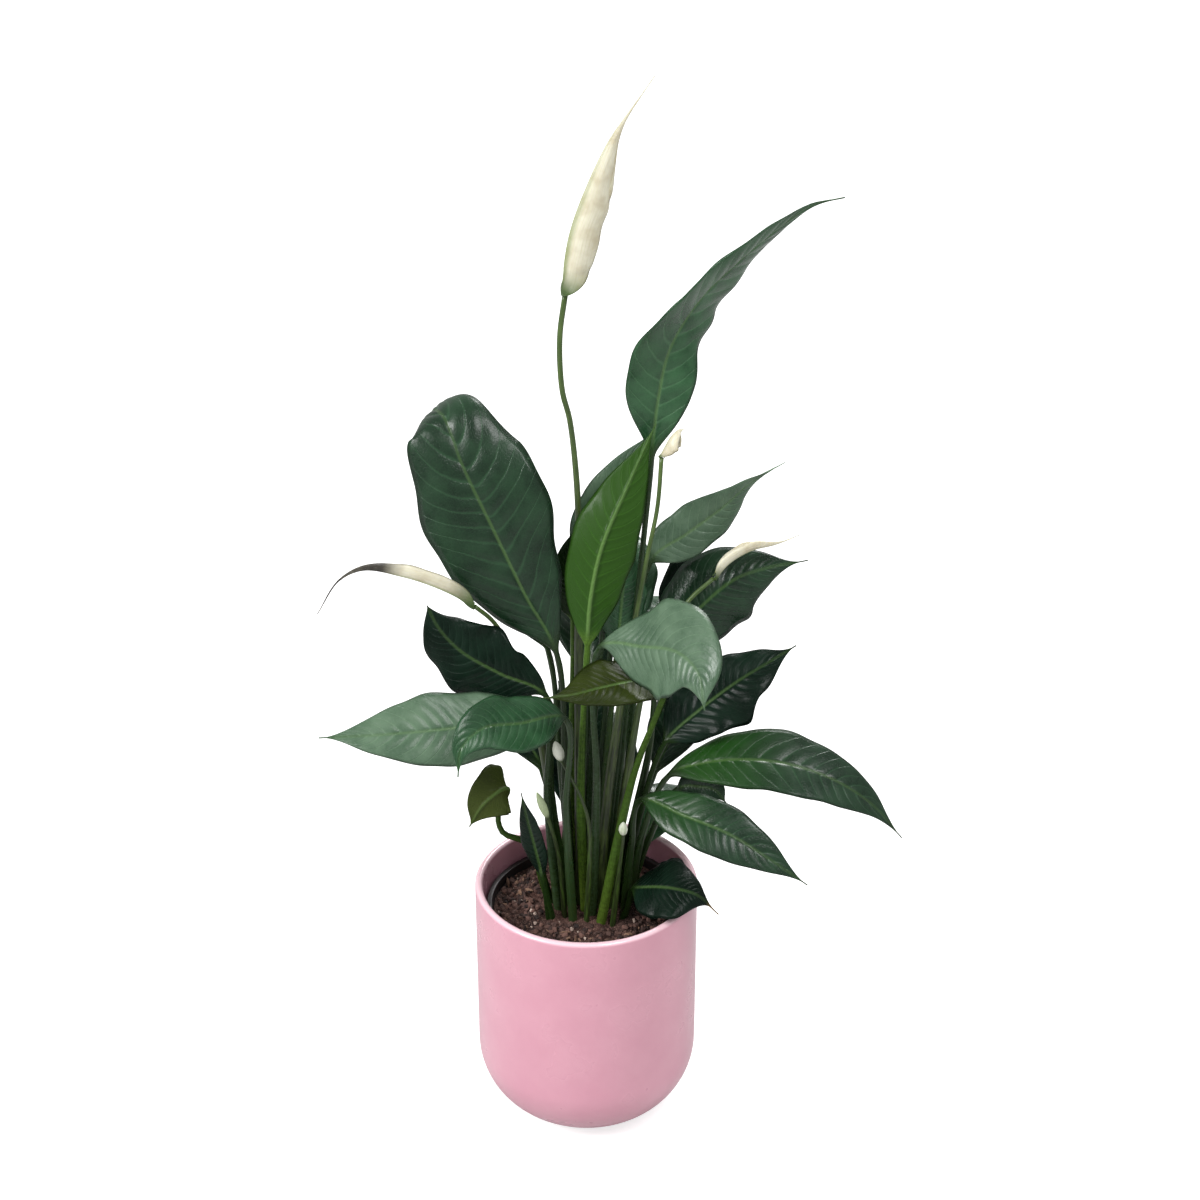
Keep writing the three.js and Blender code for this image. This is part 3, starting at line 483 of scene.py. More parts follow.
def stem_path(stem):
    """The line of a stem from its foot in the soil, its upper side set at the neck."""
    points = [(*stem.foot, PLANTED_Z), *stem.stalk, *getattr(stem, "blade", [])]
    return Path(points, len(stem.stalk), np.array(getattr(stem, "faces", (0, -1, 0)), float))


def stalk_path(flower):
    """The line of a flower's stalk, which ends at the foot of its hood."""
    points = [(*flower.foot, PLANTED_Z), *flower.stalk]
    return Path(points, len(flower.stalk), np.array(flower.faces, float))


def hood_path(flower):
    """The line of a hood's back: it starts at the top of the stalk, a little behind it."""
    stalk = stalk_path(flower)
    place, _, up = (v[0] for v in stalk.at(np.array([stalk.end])))
    start = place - HOOD_BACK * up
    return Path([start, *flower.blade], 0, np.array(flower.faces, float))


def softened(values, reach):
    """Values averaged with their neighbours up to a reach of steps away, by a cosine bell."""
    bell = np.hanning(2 * reach + 3)[1:-1]
    return np.convolve(np.pad(values, reach, mode="edge"), bell / bell.sum(), mode="valid")


def stem_radius(stem, share):
    """A stout sheath low down, easing to the neck radius over the next part of the stalk."""
    return mix(stem.foot_radius, stem.neck, ease((share - SHEATH_FROM) / SHEATH_OVER))


# ---------- Meshes ----------
def loop_faces(rows, columns):
    """Corners of the quads between closed rows of points, and of the fans that close the first and
    last row round two points that follow all the rows."""
    i, j = (g.ravel() for g in np.meshgrid(np.arange(rows - 1), np.arange(columns), indexing="ij"))
    a, b = i * columns + j, i * columns + (j + 1) % columns
    quads = np.stack([a, b, b + columns, a + columns], -1)
    j = np.arange(columns)
    following = (j + 1) % columns
    last = (rows - 1) * columns
    middle = np.full(columns, rows * columns)
    fans = np.vstack([
        np.stack([middle, following, j], -1),
        np.stack([middle + 1, last + j, last + following], -1),
    ])
    return quads, fans


def skin(name, grid, attributes=None):
    """Mesh over rows of points, in millimetres: each row is a closed loop, and the two end rows
    are closed by a fan round their middle. Attributes are tables with one value to a point."""
    rows, columns = grid.shape[:2]
    centres = grid[[0, -1]].mean(axis=1)
    points = np.vstack([grid.reshape(-1, 3), centres]) * MM
    tables = {}
    for key, table in (attributes or {}).items():
        full = np.broadcast_to(table, (rows, columns, *np.shape(table)[2:]))
        ends = full[[0, -1]].mean(axis=1)
        tables[key] = np.concatenate([full.reshape(rows * columns, *full.shape[2:]), ends])
    return mesh_of(name, points, loop_faces(rows, columns), tables)


def mesh_of(name, points, face_tables, attributes=None, smooth=True):
    """A mesh from points in metres and tables of faces, each table with one number of corners."""
    mesh = bpy.data.meshes.new(name)
    mesh.vertices.add(len(points))
    mesh.vertices.foreach_set("co", points.astype(np.float32).ravel())
    corners = np.concatenate([table.ravel() for table in face_tables])
    sizes = np.concatenate([np.full(len(table), table.shape[1]) for table in face_tables])
    mesh.loops.add(len(corners))
    mesh.loops.foreach_set("vertex_index", corners.astype(np.int32))
    mesh.polygons.add(len(sizes))
    mesh.polygons.foreach_set("loop_start", (np.cumsum(sizes) - sizes).astype(np.int32))
    mesh.polygons.foreach_set("use_smooth", np.full(len(sizes), smooth))
    mesh.update(calc_edges=True)
    mesh.validate()
    for key, table in (attributes or {}).items():
        kind, field = ("FLOAT_VECTOR", "vector") if table.ndim == 2 else ("FLOAT", "value")
        made = mesh.attributes.new(key, kind, "POINT")
        made.data.foreach_set(field, table.astype(np.float32).ravel())
    return mesh


def place_piece(mesh, material, slot, *nodes):
    """The finished piece: it rides on the plant's one body and may stand for CAD nodes."""
    piece = bpy.data.objects.new(mesh.name, mesh)
    bpy.context.scene.collection.objects.link(piece)
    mesh.materials.append(material)
    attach(piece, "root")
    if nodes:
        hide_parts(*nodes)
    return piece


# ---------- Blades ----------
def blade_outline(t, widest, base, taper):
    """sin(pi t^k)^(0.8 + base (1 - t)^4 + taper t^3), with k set by where the widest place is."""
    bend = math.log(0.5) / math.log(widest)
    power = 0.8 + base * (1 - t) ** 4 + taper * t**3
    return np.sin(np.pi * np.clip(t, 0, 1) ** bend).clip(0) ** power


def section_columns(half_count):
    """Columns round a blade's section, over the upper side from margin to margin and back below.

    Gives u and v on a round stalk (minus cosine and sine of the angle), u on a flat blade,
    0.4x + 0.6x|x|^1.5 so that columns crowd at the midrib, and +1 above or -1 below, 0 at margins.
    """
    x = np.linspace(-1, 1, 2 * half_count + 1)
    x = np.concatenate([x, x[-2:0:-1]])
    side = np.concatenate([[0], np.ones(2 * half_count - 1), [0], -np.ones(2 * half_count - 1)])
    angle = np.pi * (x + 1) / 2
    return -np.cos(angle), np.sin(angle) * side, x * (0.4 + 0.6 * np.abs(x) ** 1.5), side


def blade_rows(path, s, t, stem, neck, thickness, columns, relief):
    """Rows of points round a blade.

    Across the blade a point lies at the bent ellipse
        side:   half (sin(fold + cup u) - sin fold) / cup
        raised: half ((cos fold - cos(fold + cup u)) / cup + wave u^2 sin(2 pi count t + start))
    with half varied along each margin by a sum of three sines,
    and off it, along the section's own normal, by the thickness, the rib below and the relief.
    The round stalk opens into this over the first part of the blade.
    """
    round_u, round_v, flat_u, side_of = columns
    t_ = t[:, None]
    open_ = ease(t_ / OPENING)
    height, count, start = stem.wave
    place, along, up = path.at(s)
    turn = np.radians(spread(stem.twist, t))[:, None]
    up = up * np.cos(turn) + np.cross(along, up) * np.sin(turn)
    side = np.cross(along, up)
    stalk = neck * (1 - t_) ** 0.7
    half = stem.width / 2 * blade_outline(t_, stem.widest, stem.base, stem.taper)
    hand = np.sign(mix(round_u, flat_u, open_))
    notches = sum(
        np.sin(2 * np.pi * pitch * t_ + shift + pitch * hand) / (1 + 0.3 * k)
        for k, (pitch, shift) in enumerate(((1.4, start), (2.9, 2.1), (4.8, 3 * start)))
    )
    across = np.maximum(np.hypot(stalk, half), 0.4)
    across = across * (1 + stem.ragged * open_ * notches * np.sin(np.pi * t_).clip(0) ** 0.5)
    thin = thickness / 2 * np.clip((1 - t_) / 0.12, 0.4, 1)
    thick = mix(stalk, thin, open_)
    u = mix(round_u, flat_u, open_)
    edge = np.abs(u)
    v = mix(round_v, side_of * np.sqrt(1 - np.clip(edge, 0, 1) ** 6), open_)
    fold = np.radians(spread(stem.fold, t))[:, None] * open_
    cup = np.radians(spread(stem.cup, t))[:, None] * open_
    cup = np.where(np.abs(cup) < 1e-4, 1e-3, cup)
    lean = fold + cup * edge
    sideways = (np.sin(lean) - np.sin(fold)) / cup * hand
    raised = (np.cos(fold) - np.cos(lean)) / cup
    reach = np.sqrt(np.sin(np.pi * t_).clip(0)) * open_
    phase = start + np.where(hand > 0, 0, 2.1)
    wave = height * reach * u**2 * np.sin(2 * np.pi * count * t_ + phase)
    finer = np.sin(2 * np.pi * 3.3 * count * t_ + 1.7 * phase + 0.6 * hand)
    wave += stem.ripple * reach * u**4 * finer
    bumps, below = relief(u * across, edge, t_, across, stalk)
    normal = thick * v + open_ * (bumps + np.where(side_of < 0, below, 0))
    tilt = lean * open_
    off_side = across * sideways - normal * hand * np.sin(tilt)
    off_up = across * (raised + wave) + normal * np.cos(tilt)
    points = place[:, None] + off_side[..., None] * side[:, None] + off_up[..., None] * up[:, None]
    return points, u, across, open_ + 0 * u


def vein_phase(edge, t, hand, count, sweep, wander):
    """count (t - sweep edge^1.4), shifted by half on one hand and wandering a little: whole numbers
    are side veins, which leave the midrib and curve towards the tip."""
    shift = 0.25 * np.tanh(hand / 0.04) + wander[0] * np.sin(2 * np.pi * 2.3 * t + wander[1])
    return count * (t - sweep * edge**1.4) + shift


def leaf_mesh(leaf, look, seed):
    """A whole leaf, stalk and blade grown as one.

    The stalk is round with a channel along its upper side low down, where it is a sheath, and a
    slight swelling under the blade. The blade puffs up between its side veins by
    quilting (|sin(pi phase)|^0.6 - 0.6), fading at the margins and at the midrib.
    """
    rng = np.random.default_rng([SEED, seed])
    wander = rng.uniform([0.15, 0], [0.35, 2 * np.pi])
    path = stem_path(leaf)
    share = np.linspace(0, 1, STALK_ROWS, endpoint=False)
    x = np.linspace(0, 1, BLADE_ROWS)
    t = crowded(x)
    columns = section_columns(LEAF_COLUMNS)
    round_u, round_v = columns[0], columns[1]

    # The stalk: radius times (1 - channel in the middle of the upper side + its two raised lips).
    place, along, up = path.at(share * path.neck)
    side = np.cross(along, up)
    swelling = NECK_SWELL * np.exp(-(((share - NECK_SWELL_AT) / NECK_SWELL_WIDTH) ** 2))
    radius = stem_radius(leaf, share) * (1 + swelling)
    angle = np.arctan2(round_v, round_u) - np.pi / 2
    angle = (angle + np.pi) % (2 * np.pi) - np.pi
    sheath = 1 - ease((share - 0.45) / 0.3)
    groove = CHANNEL_DEPTH * np.exp(-((angle / CHANNEL_WIDTH) ** 2))
    lips = LIP_HEIGHT * np.exp(-(((np.abs(angle) - LIP_AT) / LIP_WIDTH) ** 2))
    size = radius[:, None] * (1 - sheath[:, None] * (groove - lips))
    stalk_points = (
        place[:, None]
        + (size * round_u)[..., None] * side[:, None]
        + (size * round_v)[..., None] * up[:, None]
    )

    length = path.end - path.neck
    sweep = 0.42 * leaf.width / length
    quilt = look.quilting / MM * leaf.width / 50
    swell = rng.uniform(0, 2 * np.pi, 3)

    def relief(off, edge, t_, across, stalk):
        phase = vein_phase(edge, t_, off / across, look.vein_count, sweep, wander)
        puff = np.abs(np.sin(np.pi * phase)) ** 0.6 - 0.6
        fade = (1 - edge**4) * (1 - np.exp(-((edge / 0.07) ** 2))) * np.sin(np.pi * t_).clip(0) ** 0.4
        waves = np.sin(7.1 * t_ + swell[0]) * np.cos(2.2 * off / across + swell[1]) * edge
        rib = np.exp(-((off / (0.75 * stalk + 0.15)) ** 2))
        return quilt * puff * fade + 0.4 * waves - 0.3 * stalk * rib, -0.75 * stalk * rib

    blade_points, u, across, opened = blade_rows(
        path, path.neck + t * length, t, leaf, leaf.neck, look.thickness / MM, columns, relief
    )
    grid = np.concatenate([stalk_points, blade_points])
    u = np.concatenate([0 * size + round_u, u])
    off = np.concatenate([size * round_u, u[STALK_ROWS:] * across]) * MM
    t = np.concatenate([0 * share, t])[:, None] + 0 * u
    down = np.concatenate([share * path.neck, path.neck + x * length])[:, None] * MM + 0 * u
    opened = np.concatenate([0 * size, opened])
    under = (1 - columns[3]) / 2 + 0 * u
    phase = vein_phase(np.abs(u), t, u, look.vein_count, sweep, wander)
    dried = ease((t - (1 - leaf.dry)) / 0.08) if leaf.dry else 0 * t
    young = leaf.flush * (1 - ease((t - 0.12) / 0.45))
    attributes = {
        "lie": np.stack([off, down + PATTERN_STEP * seed, 0.02 * under], -1),
        "growth": np.stack([t, opened, np.abs(u)], -1),
        "state": np.stack([dried, young, np.concatenate([share, 1 + 0 * x])[:, None] + 0 * u], -1),
        "vein_phase": phase,
        "underside": under,
        "lit_stalk": leaf.lit_stalk + 0 * u,
    }
    return skin(f"{leaf.name}_grown", grid, attributes)


# ---------- Flowers and buds ----------
def round_rows(path, s, radius, columns):
    """Rings about a path: radius is a table of rows by columns, read at even angles."""
    place, along, up = path.at(s)
    side = np.cross(along, up)
    angle = 2 * np.pi * np.arange(columns) / columns
    return (
        place[:, None]
        - (radius * np.cos(angle))[..., None] * side[:, None]
        + (radius * np.sin(angle))[..., None] * up[:, None]
    )


def stem_attributes(s, share, columns, seed):
    """lie: round the stem and along it in metres. growth: the share of the stem's length."""
    angle = np.arange(columns) / columns
    around = 0.006 * np.abs(angle - 0.5)
    down = s[:, None] * MM + PATTERN_STEP * seed
    lie = np.stack(np.broadcast_arrays(around, down, 0), -1)
    growth = np.stack(np.broadcast_arrays(share[:, None], 0, 0 * angle), -1)
    return {"lie": lie, "growth": growth}


def stalk_mesh(flower, seed):
    """A flower stalk: stem radius times 1 + 0.03 cos(7 angle + 5 share), a faintly ridged rod."""
    path = stalk_path(flower)
    share = np.linspace(0, 1, STEM_ROWS)
    angle = 2 * np.pi * np.arange(STEM_COLUMNS) / STEM_COLUMNS
    ridges = 1 + 0.03 * np.cos(7 * angle + 5 * share[:, None])
    radius = stem_radius(flower, share)[:, None] * ridges
    s = share * path.end
    return skin(
        f"{flower.name}_stalk_grown",
        round_rows(path, s, radius, STEM_COLUMNS),
        stem_attributes(s, share, STEM_COLUMNS, seed),
    )


def hood_mesh(flower, look, seed):
    """The hood: a rolled blade with ribs along it, ribs (1 - edge^6) cos(2 pi 9 edge)."""
    path = hood_path(flower)
    x = np.linspace(0, 1, HOOD_ROWS)
    t = crowded(x)
    columns = section_columns(HOOD_COLUMNS)
    swell = np.random.default_rng([SEED, 100 + seed]).uniform(0, 2 * np.pi, 2)

    def relief(off, edge, t_, across, stalk):
        ribs = 0.1 * (1 - edge**6) * np.cos(2 * np.pi * 9 * edge) * np.sin(np.pi * t_).clip(0)
        waves = 0.25 * np.sin(9 * t_ + swell[0]) * np.cos(3 * off / across + swell[1]) * edge
        rib = np.exp(-((off / (0.6 * stalk + 0.1)) ** 2))
        return ribs + waves, -0.3 * stalk * rib

    grid, u, across, opened = blade_rows(
        path, t * path.end, t, flower, flower.hood_neck, look.thickness / MM, columns, relief
    )
    t = t[:, None] + 0 * u
    green = 1 - ease((t - 0.2 * flower.green_foot) / (1.3 * flower.green_foot))
    brown = ease((t - (1 - flower.brown_tip)) / 0.15) if flower.brown_tip else 0 * t
    attributes = {
        "lie": np.stack([u * across * MM, t * path.end * MM + PATTERN_STEP * seed, 0 * u], -1),
        "growth": np.stack([t, opened, np.abs(u)], -1),
        "state": np.stack([brown, green, (1 - columns[3]) / 2 + 0 * u], -1),
    }
    return skin(f"{flower.name}_hood", grid, attributes)


def spike_mesh(flower, seed):
    """The spike: a thin foot, then a blunt finger, its radius multiplied by
    1 + 0.13 b with b = 0.5 + 0.5 cos(n angle) cos(pi s / pitch), a staggered lattice of florets."""
    hood = hood_path(flower)
    foot_out = flower.hood_neck + SPIKE_FOOT * flower.spike_radius + SPIKE_CLEAR
    steps = [s for s in (1, 3, 7, 12, 18) if s < flower.spike_end - 4] + [flower.spike_end]
    s = np.array(steps, float)
    place, _, up = hood.at(s)
    out = mix(foot_out, flower.spike_out, ease((s - 1) / 8))
    path = Path(place + out[:, None] * up, 0, np.array(flower.faces, float))
    share = np.linspace(0, 1, SPIKE_ROWS)
    soft = softened(np.interp(share, *np.array(SPIKE_SHAPE).T), 8)
    florets = round(5 + 1.6 * flower.spike_radius)
    angle = 2 * np.pi * np.arange(SPIKE_COLUMNS) / SPIKE_COLUMNS
    s = share * path.end
    pitch = 1.9 * flower.spike_radius * np.pi / (2 * florets) * 1.2
    lattice = 0.5 + 0.5 * np.cos(florets * angle) * np.cos(np.pi * s / pitch)[:, None]
    bumps = 1 + 0.13 * lattice * ease((share - 0.2) / 0.1)[:, None]
    attributes = stem_attributes(s, share, SPIKE_COLUMNS, seed)
    attributes["floret"] = lattice
    grid = round_rows(path, s, flower.spike_radius * soft[:, None] * bumps * 0.93, SPIKE_COLUMNS)
    return skin(f"{flower.name}_spike", grid, attributes)


def bud_mesh(bud, seed):
    """A thin stalk that swells into a pointed head. The young hood overlaps itself in a spiral
    seam: the head's radius steps by a few hundredths where angle / 2 pi + 0.7 share passes a
    whole number."""
    path = stem_path(bud)
    neck = path.end - bud.head_length
    share = np.linspace(0, 1, BUD_STALK_ROWS, endpoint=False)
    head = np.linspace(0, 1, BUD_HEAD_ROWS)
    size = np.interp(head, *np.array(BUD_SHAPE).T) * bud.head_radius
    size[0] = stem_radius(bud, 1.0)
    size = softened(size, 4)
    s = np.concatenate([share * neck, neck + head * bud.head_length])
    radius = np.concatenate([stem_radius(bud, share), size])
    angle = np.arange(STEM_COLUMNS) / STEM_COLUMNS
    lap = (angle + 0.7 * head[:, None]) % 1
    seam = 0.1 * (ease(lap / 0.15) * (1 - lap) - 0.4) * np.sin(np.pi * head)[:, None] ** 0.5
    table = radius[:, None] * np.concatenate([np.ones((BUD_STALK_ROWS, STEM_COLUMNS)), 1 + seam])
    attributes = stem_attributes(s, s / path.end, STEM_COLUMNS, seed)
    grown = np.concatenate([0 * share, ease(head / 0.25)])[:, None] + 0 * table
    attributes["state"] = np.stack([grown, 0 * grown + bud.pale, 0 * grown], -1)
    return skin(f"{bud.name}_grown", round_rows(path, s, table, STEM_COLUMNS), attributes)


# ---------- Pots and soil ----------
def arc(r, z, radius, start, stop, steps):
    """Points of a circle's arc about [r, z], between two angles in degrees."""
    angle = np.radians(np.linspace(start, stop, steps))
    return np.stack([r + radius * np.cos(angle), z + radius * np.sin(angle)], -1)


def turned(outline, segments):
    """Points of an outline of [radius, height] carried round the upright axis."""
    angle = 2 * np.pi * np.arange(segments) / segments
    r, z = outline[:, :1], outline[:, 1:]
    return np.stack([r * np.cos(angle), r * np.sin(angle), z + 0 * angle], -1)


def filled(outline, step):
    """The outline with points added on its long straight stretches, at most a step apart."""
    gaps = np.linalg.norm(np.diff(outline, axis=0), axis=1)
    parts = [
        mix(a, b, np.linspace(0, 1, max(int(gap / step), 1), endpoint=False)[:, None])
        for a, b, gap in zip(outline[:-1], outline[1:], gaps)
    ]
    return np.vstack([*parts, outline[-1:]])


def pot_mesh(look):
    """The cover pot: outline turned round the axis, out from the middle of the flat base, round the
    wide lower corner, up the wall, over the half-round rim and down inside to the floor."""
    radius, height = look.radius / MM, look.height / MM
    wall, floor = look.wall / MM, look.floor / MM
    corner, inner = look.corner / MM, look.corner / MM - wall + 0.5
    inside, lip = radius - wall, wall / 2
    outline = np.vstack([
        [[1, 0]],
        arc(radius - corner, corner, corner, -90, 0, 40),
        arc(radius - lip, height - lip, lip, 0, 180, 21),
        arc(inside - inner, floor + inner, inner, 0, -90, 34),
        [[1, floor]],
    ])
    return skin("cover_pot", turned(filled(outline, 4), POT_COLUMNS))


def nursery_radius(z):
    """Outer radius of the nursery pot: a straight taper from its foot to its rim."""
    share = (z - NURSERY["foot_z"]) / (NURSERY["top_z"] - NURSERY["foot_z"])
    return mix(NURSERY["foot_radius"], NURSERY["top_radius"], share)


def nursery_mesh():
    """The thin nursery pot: tapered wall, with a turned-out rim that has rounded edges."""
    foot, top, wall = NURSERY["foot_z"], NURSERY["top_z"], NURSERY["wall"]
    rim, rim_z = NURSERY["rim_radius"], top - NURSERY["rim_height"]
    outline = np.vstack([
        [[1, foot]],
        arc(nursery_radius(foot) - 2, foot + 2, 2, -90, -10, 8),
        [[nursery_radius(rim_z - 1), rim_z - 1]],
        arc(rim - 0.7, rim_z + 0.9, 0.7, -80, 0, 6),
        arc(rim - 0.6, top - 0.6, 0.6, 0, 90, 6),
        arc(nursery_radius(top) - wall + 0.5, top - 0.5, 0.5, 90, 180, 6),
        arc(nursery_radius(foot + 3) - wall - 2, foot + wall + 2, 2, 0, -90, 8),
        [[1, foot + wall]],
    ])
    return skin("grow_pot", turned(filled(outline, 5), NURSERY_COLUMNS))


def lumps(x, y, size, key):
    """Smooth noise from -1 to 1: random heights on a square lattice, eased between its corners."""
    table = np.random.default_rng([SEED, key]).uniform(-1, 1, (64, 64))
    i, j = x / size + 31.3, y / size + 29.7
    a, b = np.floor(i).astype(int), np.floor(j).astype(int)
    p, q = ease(i - a), ease(j - b)
    low = mix(table[a % 64, b % 64], table[(a + 1) % 64, b % 64], p)
    high = mix(table[a % 64, (b + 1) % 64], table[(a + 1) % 64, (b + 1) % 64], p)
    return mix(low, high, q)


def soil_height(r, angle, look):
    """Height of the soil: crowned from edge to middle, plus four sizes of lumps, each half as big
    and about half as high as the one before, all lower near the edge."""
    reach = nursery_radius(SOIL_EDGE_Z) - NURSERY["wall"] - GAP
    share = np.interp(r / reach, *np.array(SOIL_CROWN).T)
    x, y = r * np.cos(angle), r * np.sin(angle)
    rough = sum(0.55**k * lumps(x, y, 9 * 0.5**k, 40 + k) for k in range(4))
    lump = look.roughness / MM * rough * (0.3 + 0.7 * ease((reach - r) / 3))
    return mix(SOIL_EDGE_Z, SOIL_CROWN_Z, share) + lump - SOIL_SINK


def soil_mesh(look):
    """The soil: a plug that fills the nursery pot, its top a polar grid at the soil's height."""
    low = NURSERY["foot_z"] + NURSERY["wall"] + GAP
    inner = [nursery_radius(z) - NURSERY["wall"] - GAP for z in (low, low + 3, SOIL_EDGE_Z)]
    sides = filled(np.array([
        [1, low], [inner[0] - 3.5, low], [inner[1] - 0.3, low + 3], [inner[2], SOIL_EDGE_Z - 2],
    ]), 8)
    angle = 2 * np.pi * np.arange(SOIL_COLUMNS) / SOIL_COLUMNS
    r = np.linspace(inner[2], 0.6, SOIL_ROWS)[:, None] + 0 * angle
    top = np.stack([r * np.cos(angle), r * np.sin(angle), soil_height(r, angle, look)], -1)
    return skin("soil_bed", np.concatenate([turned(sides, SOIL_COLUMNS), top]))


def crumb_mesh(name, places, sizes, shape, key, rings=4, columns=6):
    """Loose bits: each a small sphere of rings and columns whose points are pushed in or out at
    random, stretched by shape, turned at random and set at its place."""
    rng = np.random.default_rng([SEED, key])
    count = len(places)
    tilt = np.pi * (np.arange(rings) + 1) / (rings + 1)
    angle = 2 * np.pi * np.arange(columns) / columns
    ball = np.stack([
        np.outer(np.sin(tilt), np.cos(angle)), np.outer(np.sin(tilt), np.sin(angle)),
        np.outer(-np.cos(tilt), np.ones(columns)),
    ], -1).reshape(-1, 3)
    ball = np.vstack([ball, [0, 0, -1], [0, 0, 1]])
    points = ball * rng.uniform(0.65, 1.15, (count, len(ball), 1)) * shape
    turn, _ = np.linalg.qr(rng.normal(size=(count, 3, 3)))
    turn[:, :, 0] *= np.linalg.det(turn)[:, None]
    points = np.einsum("nij,nkj->nki", turn, points) * sizes[:, None, None] + places[:, None]
    step = (np.arange(count) * len(ball))[:, None, None]
    faces = [(table + step).reshape(-1, table.shape[1]) for table in loop_faces(rings, columns)]
    shade = np.repeat(rng.uniform(0, 1, count), len(ball))
    return mesh_of(name, points.reshape(-1, 3) * MM, faces, {"shade": shade}, smooth=False)


def scatter(count, low, high, sink, look, key, stems):
    """Seeded places on the soil, evenly over its area, none inside a stem, and their sizes."""
    rng = np.random.default_rng([SEED, key])
    sizes = rng.uniform(low, high, count)
    r = CRUMB_REACH * np.sqrt(rng.uniform(0, 1, count))
    angle = rng.uniform(0, 2 * np.pi, count)
    x, y = r * np.cos(angle), r * np.sin(angle)
    away = np.hypot(x[:, None] - stems[:, 0], y[:, None] - stems[:, 1])
    keep = (away > STEM_ROOM + sizes[:, None]).all(axis=1)
    z = soil_height(r, angle, look) + (0.5 - sink) * sizes
    return np.stack([x, y, z], -1)[keep], sizes[keep] / 2


# ---------- Node helpers ----------
def node(tree, kind, inputs=None, **settings):
    """A shader node with its settings made, each input linked to a socket or given a value."""
    made = tree.nodes.new(kind)
    for key, value in settings.items():
        setattr(made, key, value)
    feed(tree, made, inputs or {})
    return made


def feed(tree, made, inputs):
    """Links each named input of a node to a socket, or sets a plain value on it."""
    for key, value in inputs.items():
        if isinstance(value, bpy.types.NodeSocket):
            tree.links.new(value, made.inputs[key])
        else:
            made.inputs[key].default_value = value


def maths(tree, operation, *values):
    """One sum, as its output."""
    return node(tree, "ShaderNodeMath", dict(enumerate(values)), operation=operation).outputs[0]


def blend(tree, share, first, second):
    """Two colours mixed, as the output."""
    mixer = node(tree, "ShaderNodeMix", {0: share, 6: first, 7: second}, data_type="RGBA")
    return mixer.outputs[2]


def between(tree, value, low, high, to_low=0.0, to_high=1.0):
    """A value eased from one range to another, as the output."""
    inputs = {"Value": value, "From Min": low, "From Max": high, "To Min": to_low, "To Max": to_high}
    return node(tree, "ShaderNodeMapRange", inputs, interpolation_type="SMOOTHSTEP").outputs[0]


def noise(tree, vector, scale, detail=3.0, roughness=0.55):
    """Soft noise from 0 to 1, as the output."""
    inputs = {"Vector": vector, "Scale": scale, "Detail": detail, "Roughness": roughness}
    return node(tree, "ShaderNodeTexNoise", inputs).outputs["Fac"]


def number(tree, name):
    """A piece's own attribute with one number to a point, as the output."""
    return node(tree, "ShaderNodeAttribute", attribute_name=name).outputs["Fac"]


def triple(tree, name):
    """A piece's own attribute with three numbers to a point, as the output."""
    return node(tree, "ShaderNodeAttribute", attribute_name=name).outputs["Vector"]


def place_of(tree):
    """Where a point is on the finished plant, as the output."""
    return node(tree, "ShaderNodeTexCoord").outputs["Object"]


def streaks(tree, lie, stretch, scale, detail):
    """Noise drawn out along a stem, as the output."""
    long = node(tree, "ShaderNodeMapping", {"Vector": lie, "Scale": (1.0, stretch, 1.0)}).outputs[0]
    return noise(tree, long, scale, detail)


def parts_of(tree, vector):
    """X, Y and Z of a vector, as outputs."""
    return node(tree, "ShaderNodeSeparateXYZ", {0: vector}).outputs


def group(name, inputs, outputs):
    """An empty node group with named sockets, and its two end nodes."""
    tree = bpy.data.node_groups.new(name, "ShaderNodeTree")
    for key, kind, value in inputs:
        socket = tree.interface.new_socket(name=key, in_out="INPUT", socket_type=f"NodeSocket{kind}")
        if value is not None:
            socket.default_value = value
    for key, kind in outputs:
        tree.interface.new_socket(name=key, in_out="OUTPUT", socket_type=f"NodeSocket{kind}")
    return tree, tree.nodes.new("NodeGroupInput").outputs, tree.nodes.new("NodeGroupOutput").inputs


def use(tree, name, inputs):
    """A shared node group placed in a material, as its outputs."""
    return node(tree, "ShaderNodeGroup", inputs, node_tree=shared(name)).outputs


def shared(name):
    """A shared node group, made when it is first asked for."""
    return bpy.data.node_groups.get(name) or SHARED[name](name)


def mottling_group(name):
    """Slow patches and small flecks, both from 0 to 1 round a half."""
    tree, given, out = group(
        name,
        [("Vector", "Vector", None), ("Size", "Float", 0.02)],
        [("Patches", "Float"), ("Flecks", "Float")],
    )
    scale = maths(tree, "DIVIDE", 1.0, given["Size"])
    finer = maths(tree, "MULTIPLY", scale, 9.0)
    tree.links.new(noise(tree, given["Vector"], scale), out["Patches"])
    tree.links.new(noise(tree, given["Vector"], finer, 4.0, 0.6), out["Flecks"])
    return tree


